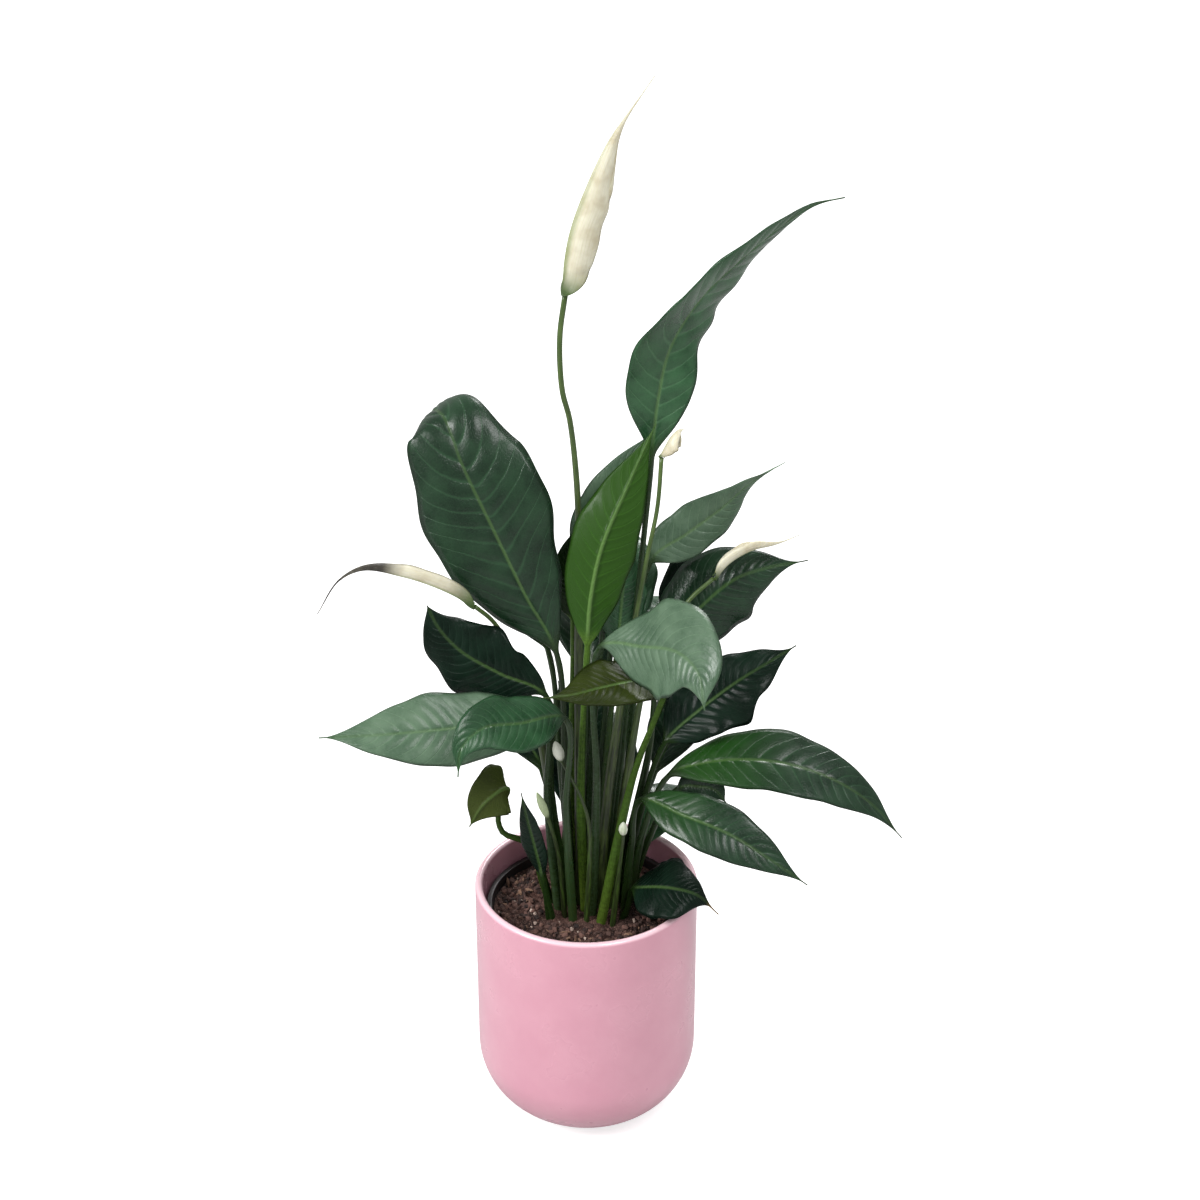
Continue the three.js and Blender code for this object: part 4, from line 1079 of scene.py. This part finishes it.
def veins_group(name):
    """Side veins: 1 on the lines where the phase is a whole number, thinning towards the margin,
    and the fine net between them."""
    tree, given, out = group(
        name,
        [("Phase", "Float", 0.0), ("Edge", "Float", 0.0), ("Vector", "Vector", None)],
        [("Lines", "Float"), ("Net", "Float")],
    )
    wobble = maths(tree, "MULTIPLY_ADD", noise(tree, given["Vector"], 90.0), 0.25, -0.125)
    phase = maths(tree, "ADD", given["Phase"], wobble)
    off = maths(tree, "ABSOLUTE", maths(tree, "SUBTRACT", maths(tree, "FRACT", phase), 0.5))
    width = between(tree, given["Edge"], 0.0, 1.0, 0.16, 0.05)
    lines = between(tree, off, maths(tree, "SUBTRACT", 0.5, width), 0.5)
    tree.links.new(lines, out["Lines"])
    cells = {"Vector": given["Vector"], "Scale": 700.0}
    net = node(tree, "ShaderNodeTexVoronoi", cells, feature="DISTANCE_TO_EDGE")
    tree.links.new(between(tree, net.outputs["Distance"], 0.0, 0.12, 1.0, 0.0), out["Net"])
    return tree


def grain_group(name):
    """Fine grain for a bump: two sizes of noise added up, the second a third of the first."""
    tree, given, out = group(
        name, [("Vector", "Vector", None), ("Size", "Float", 0.001)], [("Height", "Float")]
    )
    scale = maths(tree, "DIVIDE", 1.0, given["Size"])
    coarse = noise(tree, given["Vector"], scale, 4.0, 0.6)
    fine = noise(tree, given["Vector"], maths(tree, "MULTIPLY", scale, 4.0), 2.0)
    tree.links.new(maths(tree, "MULTIPLY_ADD", fine, 0.33, coarse), out["Height"])
    return tree


SHARED = {"Mottling": mottling_group, "Leaf veins": veins_group, "Grain": grain_group}


def new_material(name):
    """A material with only a Principled shader and its output."""
    material = bpy.data.materials.new(name)
    material.use_nodes = True
    tree = material.node_tree
    tree.nodes.clear()
    shader = node(tree, "ShaderNodeBsdfPrincipled")
    node(tree, "ShaderNodeOutputMaterial", {"Surface": shader.outputs[0]})
    return material, tree, shader


def bump(tree, shader, height, distance, strength=1.0):
    """Feeds a height to the shader's normal."""
    inputs = {"Height": height, "Distance": distance, "Strength": strength}
    tree.links.new(node(tree, "ShaderNodeBump", inputs).outputs[0], shader.inputs["Normal"])


# ---------- Finishes ----------
def leaf_material(key, look):
    """Waxy leaf: mottled green with side veins and a pale midrib, paler and duller below, running
    into the stalk, light green where lit and near-black painted shade elsewhere, with dry brown
    where the leaf says so. The dark set is painted shade and the sage set painted sheen."""
    upper, patch, vein, below = (tint(code) for code in LEAF_TONES_AND_LIGHT[key])
    material, tree, shader = new_material(f"leaf_{key}")
    lie = triple(tree, "lie")
    along, opened, edge = parts_of(tree, triple(tree, "growth"))
    dried, young, up_stalk = parts_of(tree, triple(tree, "state"))
    under = between(tree, number(tree, "underside"), 0.3, 0.7)
    # How far each stalk keeps its lit green; the rest of it is painted shade.
    light = number(tree, "lit_stalk")
    mottling = use(tree, "Mottling", {"Vector": lie, "Size": 0.016})
    patches, flecks = mottling["Patches"], mottling["Flecks"]
    phase = number(tree, "vein_phase")
    veins = use(tree, "Leaf veins", {"Phase": phase, "Edge": edge, "Vector": lie})
    lines, net = veins["Lines"], veins["Net"]

    # The blade above and below.
    colour = blend(tree, between(tree, patches, 0.3, 0.72), upper, patch)
    colour = blend(tree, maths(tree, "MULTIPLY", lines, 0.3), colour, vein)
    colour = blend(tree, maths(tree, "MULTIPLY", net, 0.08), colour, vein)
    young = maths(tree, "MULTIPLY", young, between(tree, patches, 0.2, 0.7, 0.7, 1.0))
    colour = blend(tree, young, colour, look.young)
    below = blend(tree, maths(tree, "MULTIPLY", lines, 0.5), below, vein)
    colour = blend(tree, under, colour, below)

    # The midrib, fading towards the tip.
    off = maths(tree, "ABSOLUTE", parts_of(tree, lie)[0])
    # The midrib shows more on leaves whose stalk is lit, following the same painted light as the
    # stalk.
    strength = maths(tree, "MULTIPLY_ADD", light, 0.5, 0.3)
    strength = maths(tree, "MULTIPLY", strength, between(tree, along, 0.2, 0.9, 1.0, 0.4))
    midrib = maths(tree, "MULTIPLY", between(tree, off, 0.0003, 0.0014, 1.0, 0.0), strength)
    colour = blend(tree, midrib, colour, look.midrib)

    # The stalk, near-black painted shade save as far as lit_stalk lets its lit green show, then
    # the dried tip.
    pale = blend(tree, between(tree, up_stalk, 0.0, 0.4), look.sheath, look.stalk)
    stalk = blend(tree, light, look.dark_stalk, pale)
    stalk = blend(tree, between(tree, flecks, 0.35, 0.75, 0.0, 0.5), stalk, upper)
    colour = blend(tree, between(tree, opened, 0.0, 0.9), stalk, colour)
    colour = blend(tree, dried, colour, blend(tree, flecks, look.dry, tint(DRY_PALE)))

    rough = between(tree, patches, 0.3, 0.8, look.gloss_low, look.gloss_high)
    rough = maths(tree, "MULTIPLY_ADD", under, 0.2, rough)
    rough = maths(tree, "MULTIPLY_ADD", dried, 0.3, rough)
    height = maths(tree, "MULTIPLY_ADD", lines, -0.7, maths(tree, "MULTIPLY", net, -0.15))
    height = maths(tree, "MULTIPLY_ADD", flecks, 0.35, height)
    bump(tree, shader, height, 0.00022, 0.9)
    feed(tree, shader, {
        "Base Color": colour, "Roughness": rough,
        "Coat Weight": look.wax * LEAF_SHINE[key], "Coat Roughness": 0.2,
        "Specular IOR Level": LEAF_SPECULAR * LEAF_SHINE[key],
    })
    return material


def stem_material(look):
    """Flower stalk: olive green with long streaks, darker low down."""
    material, tree, shader = new_material("stalk_green")
    lie = triple(tree, "lie")
    share = parts_of(tree, triple(tree, "growth"))[0]
    long = streaks(tree, lie, 0.04, 1500.0, 2.0)
    patches = use(tree, "Mottling", {"Vector": lie, "Size": 0.012})["Patches"]
    colour = blend(tree, between(tree, share, 0.35, 1.0), look.stalk_low, look.stalk_high)
    colour = blend(tree, between(tree, long, 0.4, 0.7, 0.0, 0.4), colour, tint(STALK_STREAK))
    colour = blend(tree, between(tree, patches, 0.5, 0.8, 0.0, 0.4), colour, tint(STALK_PATCH))
    bump(tree, shader, long, 0.0001)
    feed(tree, shader, {
        "Base Color": colour, "Roughness": between(tree, long, 0.3, 0.7, 0.38, 0.5),
        "Coat Weight": 0.12, "Coat Roughness": 0.3,
    })
    return material


def hood_material(look):
    """Flower hood: cream with fine ribs along it, green at its foot and back, brown where dried."""
    material, tree, shader = new_material("hood_cream")
    lie = triple(tree, "lie")
    along, _, edge = parts_of(tree, triple(tree, "growth"))
    dried, green, outside = parts_of(tree, triple(tree, "state"))
    long = streaks(tree, lie, 0.05, 900.0, 3.0)
    mottling = use(tree, "Mottling", {"Vector": lie, "Size": 0.014})
    patches, flecks = mottling["Patches"], mottling["Flecks"]
    colour = blend(tree, between(tree, patches, 0.35, 0.75), look.cream, look.beige)
    colour = blend(tree, between(tree, long, 0.45, 0.8, 0.0, 0.5), colour, look.beige)
    ribs = maths(tree, "COSINE", maths(tree, "MULTIPLY", edge, 75.0))
    ribs = maths(tree, "MULTIPLY_ADD", ribs, 0.5, 0.5)
    colour = blend(tree, between(tree, ribs, 0.7, 1.0, 0.0, 0.18), colour, tint(HOOD_RIB))
    back = maths(tree, "MULTIPLY", between(tree, edge, 0.0, 0.22, 1.0, 0.0), outside)
    back = maths(tree, "MULTIPLY", back, between(tree, along, 0.1, 0.9, 0.8, 0.1))
    colour = blend(tree, back, colour, look.hood_green)
    colour = blend(tree, green, colour, look.stalk_high)
    brown = maths(tree, "MULTIPLY", dried, between(tree, patches, 0.2, 0.6, 0.75, 1.0))
    colour = blend(tree, brown, colour, look.hood_brown)
    height = maths(tree, "MULTIPLY_ADD", long, 0.6, maths(tree, "MULTIPLY", flecks, 0.3))
    bump(tree, shader, height, 0.00018)
    feed(tree, shader, {
        "Base Color": colour, "Roughness": between(tree, long, 0.3, 0.7, 0.42, 0.56),
        "Subsurface Weight": 0.12, "Subsurface Radius": (0.5, 0.45, 0.25),
        "Subsurface Scale": 0.002,
    })
    return material


def spike_material(look):
    """Flower spike: cream florets with greener furrows between them."""
    material, tree, shader = new_material("spike_cream")
    lie = triple(tree, "lie")
    share = parts_of(tree, triple(tree, "growth"))[0]
    floret = number(tree, "floret")
    flecks = use(tree, "Mottling", {"Vector": lie, "Size": 0.004})["Flecks"]
    colour = blend(tree, between(tree, floret, 0.2, 0.7), tint(SPIKE_FURROW), look.spike)
    colour = blend(tree, between(tree, flecks, 0.5, 0.8, 0.0, 0.6), colour, tint(SPIKE_SPECK))
    colour = blend(tree, between(tree, share, 0.1, 0.24, 1.0, 0.0), colour, look.stalk_high)
    bump(tree, shader, use(tree, "Grain", {"Vector": lie, "Size": 0.0004})["Height"], 0.0001)
    rough = between(tree, floret, 0.0, 1.0, 0.75, 0.58)
    feed(tree, shader, {"Base Color": colour, "Roughness": rough})
    return material


def bud_material(look):
    """Young bud: a green stalk that turns into a pale, faintly streaked head."""
    material, tree, shader = new_material("bud_pale")
    in_head, pale, _ = parts_of(tree, triple(tree, "state"))
    long = streaks(tree, triple(tree, "lie"), 0.06, 1300.0, 2.0)
    head = blend(tree, pale, look.bud_green, look.bud_white)
    head = blend(tree, between(tree, long, 0.45, 0.75, 0.0, 0.5), head, look.bud_green)
    stalk = blend(tree, between(tree, long, 0.4, 0.7), look.stalk_low, look.stalk_high)
    bump(tree, shader, long, 0.0001)
    feed(tree, shader, {
        "Base Color": blend(tree, in_head, stalk, head),
        "Roughness": between(tree, long, 0.3, 0.7, 0.4, 0.52),
    })
    return material


def glaze_material(look):
    """Pink glaze: barely mottled, with a few pinpricks, thin and pale where it breaks over the rim,
    where the pale also paints in the rim's highlight, and bare clay where the base stands."""
    material, tree, shader = new_material("pink_glaze")
    place = place_of(tree)
    high = parts_of(tree, place)[2]
    patches = use(tree, "Mottling", {"Vector": place, "Size": 0.03})["Patches"]
    colour = blend(tree, between(tree, patches, 0.25, 0.75), look.glaze, look.glaze_deep)
    spots = node(tree, "ShaderNodeTexVoronoi", {"Vector": place, "Scale": 90.0, "Randomness": 1.0})
    prick = between(tree, spots.outputs["Distance"], 0.03, 0.06, 1.0, 0.0)
    colour = blend(tree, maths(tree, "MULTIPLY", prick, 0.05), colour, tint(PINPRICK))
    # Pale rim: partly the glaze thinning over the edge, partly a painted highlight along the rim.
    rim = between(tree, high, look.height - 0.0022, look.height - 0.0004)
    colour = blend(tree, maths(tree, "MULTIPLY", rim, 0.85), colour, look.rim)
    bare = between(tree, high, 0.0003, 0.0012, 1.0, 0.0)
    colour = blend(tree, bare, colour, tint(BARE_CLAY))
    rough = between(tree, patches, 0.3, 0.7, 0.26, 0.34)
    rough = maths(tree, "MAXIMUM", rough, maths(tree, "MULTIPLY", bare, 0.85))
    pits = maths(tree, "MULTIPLY", prick, -0.02)
    bump(tree, shader, maths(tree, "ADD", noise(tree, place, 40.0, 0.0), pits), 0.00025, 0.6)
    feed(tree, shader, {
        "Base Color": colour, "Roughness": rough, "Coat Weight": 0.25, "Coat Roughness": 0.12,
    })
    return material


def plastic_material(look):
    """Nursery pot: thin black plastic, scuffed, with dry soil smeared near its rim. Its near-black
    also stands for the shadowed gap between the soil and the cover pot.
    """
    material, tree, shader = new_material("nursery_black_gap_shade")
    place = place_of(tree)
    high = parts_of(tree, place)[2]
    mottling = use(tree, "Mottling", {"Vector": place, "Size": 0.008})
    near_rim = between(tree, high, NURSERY_TOP.z - 0.02, NURSERY_TOP.z - 0.001, 0.0, 0.6)
    smear = maths(tree, "MULTIPLY", between(tree, mottling["Flecks"], 0.5, 0.7), near_rim)
    rough = between(tree, mottling["Patches"], 0.3, 0.7, 0.34, 0.52)
    rough = maths(tree, "MULTIPLY_ADD", smear, 0.4, rough)
    grain = use(tree, "Grain", {"Vector": place, "Size": 0.0012})["Height"]
    bump(tree, shader, grain, 0.0001, 0.6)
    colour = blend(tree, smear, look.plastic, look.soil)
    feed(tree, shader, {"Base Color": colour, "Roughness": rough})
    return material


def soil_material(look):
    """Potting mix: brown peat, darker where it is damp, with paler dry grains."""
    material, tree, shader = new_material("potting_mix")
    place = place_of(tree)
    damp = use(tree, "Mottling", {"Vector": place, "Size": 0.03})["Patches"]
    grains = use(tree, "Mottling", {"Vector": place, "Size": 0.006})["Flecks"]
    colour = blend(tree, between(tree, damp, 0.35, 0.65), look.soil_damp, look.soil)
    colour = blend(tree, between(tree, grains, 0.52, 0.68, 0.0, 0.7), colour, look.soil_pale)
    bump(tree, shader, use(tree, "Grain", {"Vector": place, "Size": 0.0014})["Height"], 0.0008)
    feed(tree, shader, {
        "Base Color": colour, "Roughness": between(tree, damp, 0.3, 0.7, 0.72, 0.95),
        "Specular IOR Level": 0.25,
    })
    return material


def bits_material(name, dark, light, size, roughness):
    """Loose bits in the soil: each somewhere between two colours, with fine grain."""
    material, tree, shader = new_material(name)
    place = place_of(tree)
    shade = number(tree, "shade")
    flecks = use(tree, "Mottling", {"Vector": place, "Size": size})["Flecks"]
    amount = maths(tree, "MULTIPLY_ADD", maths(tree, "SUBTRACT", flecks, 0.5), 0.8, shade)
    rough = between(tree, shade, 0.0, 1.0, roughness - 0.08, roughness + 0.04)
    bump(tree, shader, use(tree, "Grain", {"Vector": place, "Size": 0.5 * size})["Height"], 0.0003)
    feed(tree, shader, {"Base Color": blend(tree, amount, dark, light), "Roughness": rough})
    return material


def floor_material(look):
    """Pale studio floor with the faintest unevenness, white to the eye but dim to the plant."""
    material, tree, shader = new_material("studio_floor")
    patches = use(tree, "Mottling", {"Vector": place_of(tree), "Size": 0.4})["Patches"]
    seen = node(tree, "ShaderNodeLightPath").outputs["Is Camera Ray"]
    feed(tree, shader, {
        "Base Color": blend(tree, patches, look.floor, tint(FLOOR_PATCH)), "Roughness": 0.9,
        "Specular IOR Level": 0.1, "Emission Color": (1, 1, 1, 1),
        "Emission Strength": maths(tree, "MULTIPLY", seen, look.floor_glow),
    })
    return material


# ---------- Sizes and colours ----------
def length_property(name, description, default, low=0.0, high=2.0):
    """A length in metres."""
    return FloatProperty(
        name=name, description=description, default=default, min=low, max=high,
        unit="LENGTH", subtype="DISTANCE", precision=4,
    )


def share_property(name, description, default):
    """A plain amount from 0 to 1."""
    return FloatProperty(
        name=name, description=description, default=default, min=0, max=1, subtype="FACTOR"
    )


def amount_property(name, description, default, unit="NONE", low=0.0):
    """An amount that may be large."""
    return FloatProperty(name=name, description=description, default=default, min=low, unit=unit)


def count_property(name, description, default):
    """A whole number."""
    return IntProperty(name=name, description=description, default=default, min=0)


def colour_property(name, description, code):
    """A colour with its default given as a screen colour code."""
    return FloatVectorProperty(
        name=name, description=description, default=tint(code), size=4, min=0, max=1, subtype="COLOR"
    )


class PotSettings(bpy.types.PropertyGroup):
    """Sizes and colours of the cover pot."""

    radius: length_property("Radius", "Outer radius of the cover pot", POT_TOP.x)
    height: length_property("Height", "Height of the cover pot", POT_TOP.z)
    wall: length_property("Wall", "Thickness of the wall", 0.0045)
    floor: length_property("Floor", "Thickness of the floor", 0.006)
    corner: length_property("Lower corner", "Radius of the rounding above the base", 0.044)
    glaze: colour_property("Glaze", "Main colour of the glaze", "#CF97A7")
    glaze_deep: colour_property("Deep glaze", "Colour where the glaze lies thicker", "#CA90A1")
    # Partly the thin glaze's own colour, partly a painted highlight along the rim.
    rim: colour_property("Rim", "Colour where the glaze is thin over the rim", "#EBC8D0")


class SoilSettings(bpy.types.PropertyGroup):
    """Sizes and colours of the soil and the nursery pot."""

    roughness: length_property("Roughness", "Height of the largest lumps", 0.0022)
    crumbs: count_property("Crumbs", "Number of loose crumbs", 1500)
    bark: count_property("Bark", "Number of bark chips", 170)
    perlite: count_property("Perlite", "Number of pale perlite grains", 120)
    # Near-black: the plastic's own colour, also standing for the shadowed gap round the soil.
    plastic: colour_property("Plastic", "Colour of the nursery pot", "#1B1A1B")
    soil: colour_property("Soil", "Colour of dry soil", "#4C352F")
    soil_damp: colour_property("Damp soil", "Colour of damp soil", "#231512")
    soil_pale: colour_property("Pale grains", "Colour of the palest grains", "#937468")


class LeafSettings(bpy.types.PropertyGroup):
    """Sizes and colours of the leaves."""

    thickness: length_property("Thickness", "Thickness of a blade", 0.0006)
    quilting: length_property("Quilting", "How far a wide blade puffs up between its veins", 0.0008)
    vein_count: amount_property("Side veins", "Side veins on each half", 17, low=1)
    wax: share_property("Wax", "Strength of the waxy coat", 0.16)
    gloss_low: share_property("Least roughness", "Roughness of the glossiest patches", 0.25)
    gloss_high: share_property("Most roughness", "Roughness of the dullest patches", 0.4)
    young: colour_property("Young green", "Green at the base of a young blade", "#1B430C")
    midrib: colour_property("Midrib", "Colour of the midrib", "#5E7E43")
    stalk: colour_property("Stalk", "Colour of a light stalk", "#4C6C22")
    sheath: colour_property("Sheath", "Colour low on a light stalk", "#66802C")
    # Painted shade: the near-black stalk colour stands for the shadow inside the clump.
    dark_stalk: colour_property("Dark stalk", "Colour of a dark stalk", "#12240F")
    dry: colour_property("Dry tip", "Darker colour of a dried tip", "#6E5434")


class FlowerSettings(bpy.types.PropertyGroup):
    """Sizes and colours of the flowers and buds."""

    thickness: length_property("Thickness", "Thickness of a hood", 0.0006)
    cream: colour_property("Cream", "Main colour of a hood", "#D3CFBB")
    beige: colour_property("Beige", "Colour of its streaks and patches", "#B5AA8F")
    hood_green: colour_property("Hood green", "Green along a hood's back", "#6F8046")
    hood_brown: colour_property("Hood brown", "Colour of a dried hood tip", "#28241F")
    spike: colour_property("Spike", "Colour of the florets", "#C9C491")
    stalk_low: colour_property("Low stalk", "Flower stalk near the soil", "#202C10")
    stalk_high: colour_property("High stalk", "Flower stalk near the hood", "#344C14")
    bud_green: colour_property("Bud green", "Colour of a green bud", "#7B9155")
    bud_white: colour_property("Bud white", "Colour of a pale bud", "#C6C8BC")


class StageSettings(bpy.types.PropertyGroup):
    """Floor, light and camera."""

    floor: colour_property("Floor", "Colour of the floor", "#C4C4C4")
    floor_glow: amount_property("Floor glow", "Brightness that the camera sees added", 0.7)
    sky: amount_property("Surrounding light", "Strength of the even light", 0.6)
    key: amount_property("Main light", "Power of the main light", 42, "POWER")
    top: amount_property("Top light", "Power of the top light", 26, "POWER")
    back: amount_property("Back light", "Power of the back light", 40, "POWER")
    lens: amount_property("Lens", "Focal length", 72, "CAMERA", low=1)
    tilt: FloatProperty(
        name="Tilt", description="How far the camera looks down", default=math.radians(28.1),
        unit="ROTATION", subtype="ANGLE",
    )
    distance: length_property("Distance", "Camera to its target", 1.316, 0.1, 10)


SETTINGS = {
    "lily_pot": PotSettings, "lily_soil": SoilSettings, "lily_leaves": LeafSettings,
    "lily_flowers": FlowerSettings, "lily_stage": StageSettings,
}


# ---------- Operators ----------
class LILY_OT_cover_pot(bpy.types.Operator):
    """Make the glazed cover pot"""

    bl_idname = "lily.cover_pot"
    bl_label = "Cover Pot"

    def execute(self, context):
        look = context.scene.lily_pot
        place_piece(pot_mesh(look), glaze_material(look), "glaze", "pot")
        return {"FINISHED"}


class LILY_OT_nursery_pot(bpy.types.Operator):
    """Make the thin nursery pot inside the cover pot"""

    bl_idname = "lily.nursery_pot"
    bl_label = "Nursery Pot"

    def execute(self, context):
        material = plastic_material(context.scene.lily_soil)
        place_piece(nursery_mesh(), material, "nursery_plastic", "nursery_pot")
        return {"FINISHED"}


class LILY_OT_soil(bpy.types.Operator):
    """Make the soil with its loose crumbs, bark and perlite"""

    bl_idname = "lily.soil"
    bl_label = "Soil"

    def execute(self, context):
        look = context.scene.lily_soil
        place_piece(soil_mesh(look), soil_material(look), "potting_mix", "soil")
        paths = [stem_path(s) for s in (*LEAVES, *BUDS)] + [stalk_path(f) for f in FLOWERS]
        stems = np.array([path.at(np.array([STEM_AT]))[0][0, :2] for path in paths])
        kinds = [
            ("soil_crumbs", look.crumbs, (1.6, 4.6), (1, 0.85, 0.7), "#1D1210", "#6B4E45", 0.92),
            ("bark_chips", look.bark, (3, 7), (1, 0.45, 0.22), "#3A261F", "#94745F", 0.85),
            ("perlite_grains", look.perlite, (1.2, 2.8), (1, 0.9, 0.85), "#8E7A70", "#C9B6A9", 0.8),
        ]
        for key, (name, count, (low, high), shape, dark, light, rough) in enumerate(kinds, 60):
            places, sizes = scatter(count, low, high, 0.35, look, key, stems)
            mesh = crumb_mesh(name, places, sizes, shape, key + 10)
            material = bits_material(name, tint(dark), tint(light), 0.004, rough)
            place_piece(mesh, material, "potting_mix")
        return {"FINISHED"}


class LILY_OT_leaves(bpy.types.Operator):
    """Make every leaf, stalk and blade in one piece"""

    bl_idname = "lily.leaves"
    bl_label = "Leaves"

    def execute(self, context):
        look = context.scene.lily_leaves
        finishes = {key: leaf_material(key, look) for key in LEAF_TONES_AND_LIGHT}
        for seed, leaf in enumerate(LEAVES):
            place_piece(leaf_mesh(leaf, look, seed), finishes[leaf.tone_and_light], "leaf", leaf.name)
        return {"FINISHED"}


class LILY_OT_flower_stalks(bpy.types.Operator):
    """Make the flower stalks"""

    bl_idname = "lily.flower_stalks"
    bl_label = "Flower Stalks"

    def execute(self, context):
        material = stem_material(context.scene.lily_flowers)
        for seed, flower in enumerate(FLOWERS):
            place_piece(stalk_mesh(flower, seed), material, "flower_stalk", f"{flower.name}_stalk")
        return {"FINISHED"}


class LILY_OT_hoods(bpy.types.Operator):
    """Make the pale hoods, the spathes"""

    bl_idname = "lily.hoods"
    bl_label = "Hoods"

    def execute(self, context):
        look = context.scene.lily_flowers
        material = hood_material(look)
        for seed, flower in enumerate(FLOWERS):
            place_piece(hood_mesh(flower, look, seed), material, "spathe", f"{flower.name}_spathe")
        return {"FINISHED"}


class LILY_OT_spikes(bpy.types.Operator):
    """Make the flower spikes, the spadices"""

    bl_idname = "lily.spikes"
    bl_label = "Spikes"

    def execute(self, context):
        material = spike_material(context.scene.lily_flowers)
        for seed, flower in enumerate(FLOWERS):
            place_piece(spike_mesh(flower, seed), material, "spadix", f"{flower.name}_spadix")
        return {"FINISHED"}


class LILY_OT_buds(bpy.types.Operator):
    """Make the young buds on their stalks"""

    bl_idname = "lily.buds"
    bl_label = "Buds"

    def execute(self, context):
        material = bud_material(context.scene.lily_flowers)
        for seed, bud in enumerate(BUDS):
            place_piece(bud_mesh(bud, seed), material, "bud", bud.name)
        return {"FINISHED"}


def soft_light(name, power, size, place):
    """A square soft light that looks at the middle of the plant."""
    data = bpy.data.lights.new(name, "AREA")
    data.energy, data.size = power, size
    lamp = bpy.data.objects.new(name, data)
    bpy.context.scene.collection.objects.link(lamp)
    lamp.location = place
    lamp.rotation_euler = (Vector(LIT_POINT) - Vector(place)).to_track_quat("-Z", "Y").to_euler()


class LILY_OT_stage(bpy.types.Operator):
    """Lay the pale floor and set the lights and the camera"""

    bl_idname = "lily.stage"
    bl_label = "Floor, Lights and Camera"

    def execute(self, context):
        look, scene = context.scene.lily_stage, context.scene
        corners = np.array([[-1, -1, 0], [1, -1, 0], [1, 1, 0], [-1, 1, 0]]) * FLOOR_REACH
        floor = bpy.data.objects.new("floor", mesh_of("floor", corners, [np.array([[0, 1, 2, 3]])]))
        floor.data.materials.append(floor_material(look))
        scene.collection.objects.link(floor)

        world = bpy.data.worlds.new("studio")
        world.use_nodes = True
        tree = world.node_tree
        background = tree.nodes["Background"]
        background.inputs["Color"].default_value = (1, 1, 1, 1)
        seen = node(tree, "ShaderNodeLightPath").outputs["Is Camera Ray"]
        strength = maths(tree, "MAXIMUM", seen, look.sky)
        tree.links.new(strength, background.inputs["Strength"])
        scene.world = world
        soft_light("main_light", look.key, 0.7, (-1.6, -0.95, 1.5))
        soft_light("top_light", look.top, 0.8, (0.75, -1.1, 2.1))
        soft_light("back_light", look.back, 0.8, (0.5, 1.7, 1.9))

        data = bpy.data.cameras.new("camera")
        data.lens, data.sensor_width = look.lens, SENSOR_WIDTH
        data.clip_start, data.clip_end = 0.05, 50
        camera = bpy.data.objects.new("camera", data)
        scene.collection.objects.link(camera)
        back = Vector((0, -math.cos(look.tilt), math.sin(look.tilt)))
        camera.location = Vector(CAMERA_TARGET) + look.distance * back
        camera.rotation_euler = (-back).to_track_quat("-Z", "Y").to_euler()
        scene.camera = camera
        scene.view_settings.view_transform = "Standard"
        return {"FINISHED"}


OPERATORS = [
    LILY_OT_cover_pot, LILY_OT_nursery_pot, LILY_OT_soil, LILY_OT_leaves, LILY_OT_flower_stalks,
    LILY_OT_hoods, LILY_OT_spikes, LILY_OT_buds, LILY_OT_stage,
]


class LILY_PT_panel(bpy.types.Panel):
    """Lists the pieces and their sizes and colours"""

    bl_idname = "LILY_PT_panel"
    bl_label = "Potted Peace Lily"
    bl_space_type = "VIEW_3D"
    bl_region_type = "UI"
    bl_category = "Peace Lily"

    def draw(self, context):
        for operator in OPERATORS:
            self.layout.operator(operator.bl_idname)
        for key, kind in SETTINGS.items():
            box = self.layout.box()
            box.label(text=kind.__doc__)
            for name in kind.__annotations__:
                box.prop(getattr(context.scene, key), name)


CLASSES = [*SETTINGS.values(), *OPERATORS, LILY_PT_panel]


def register():
    for kind in CLASSES:
        bpy.utils.register_class(kind)
    for key, kind in SETTINGS.items():
        setattr(bpy.types.Scene, key, PointerProperty(type=kind))


def unregister():
    for key in SETTINGS:
        delattr(bpy.types.Scene, key)
    for kind in reversed(CLASSES):
        bpy.utils.unregister_class(kind)


def main():
    """Makes every piece in order."""
    register()
    for operator in OPERATORS:
        module, name = operator.bl_idname.split(".")
        getattr(getattr(bpy.ops, module), name)()


if __name__ == "__main__":
    main()
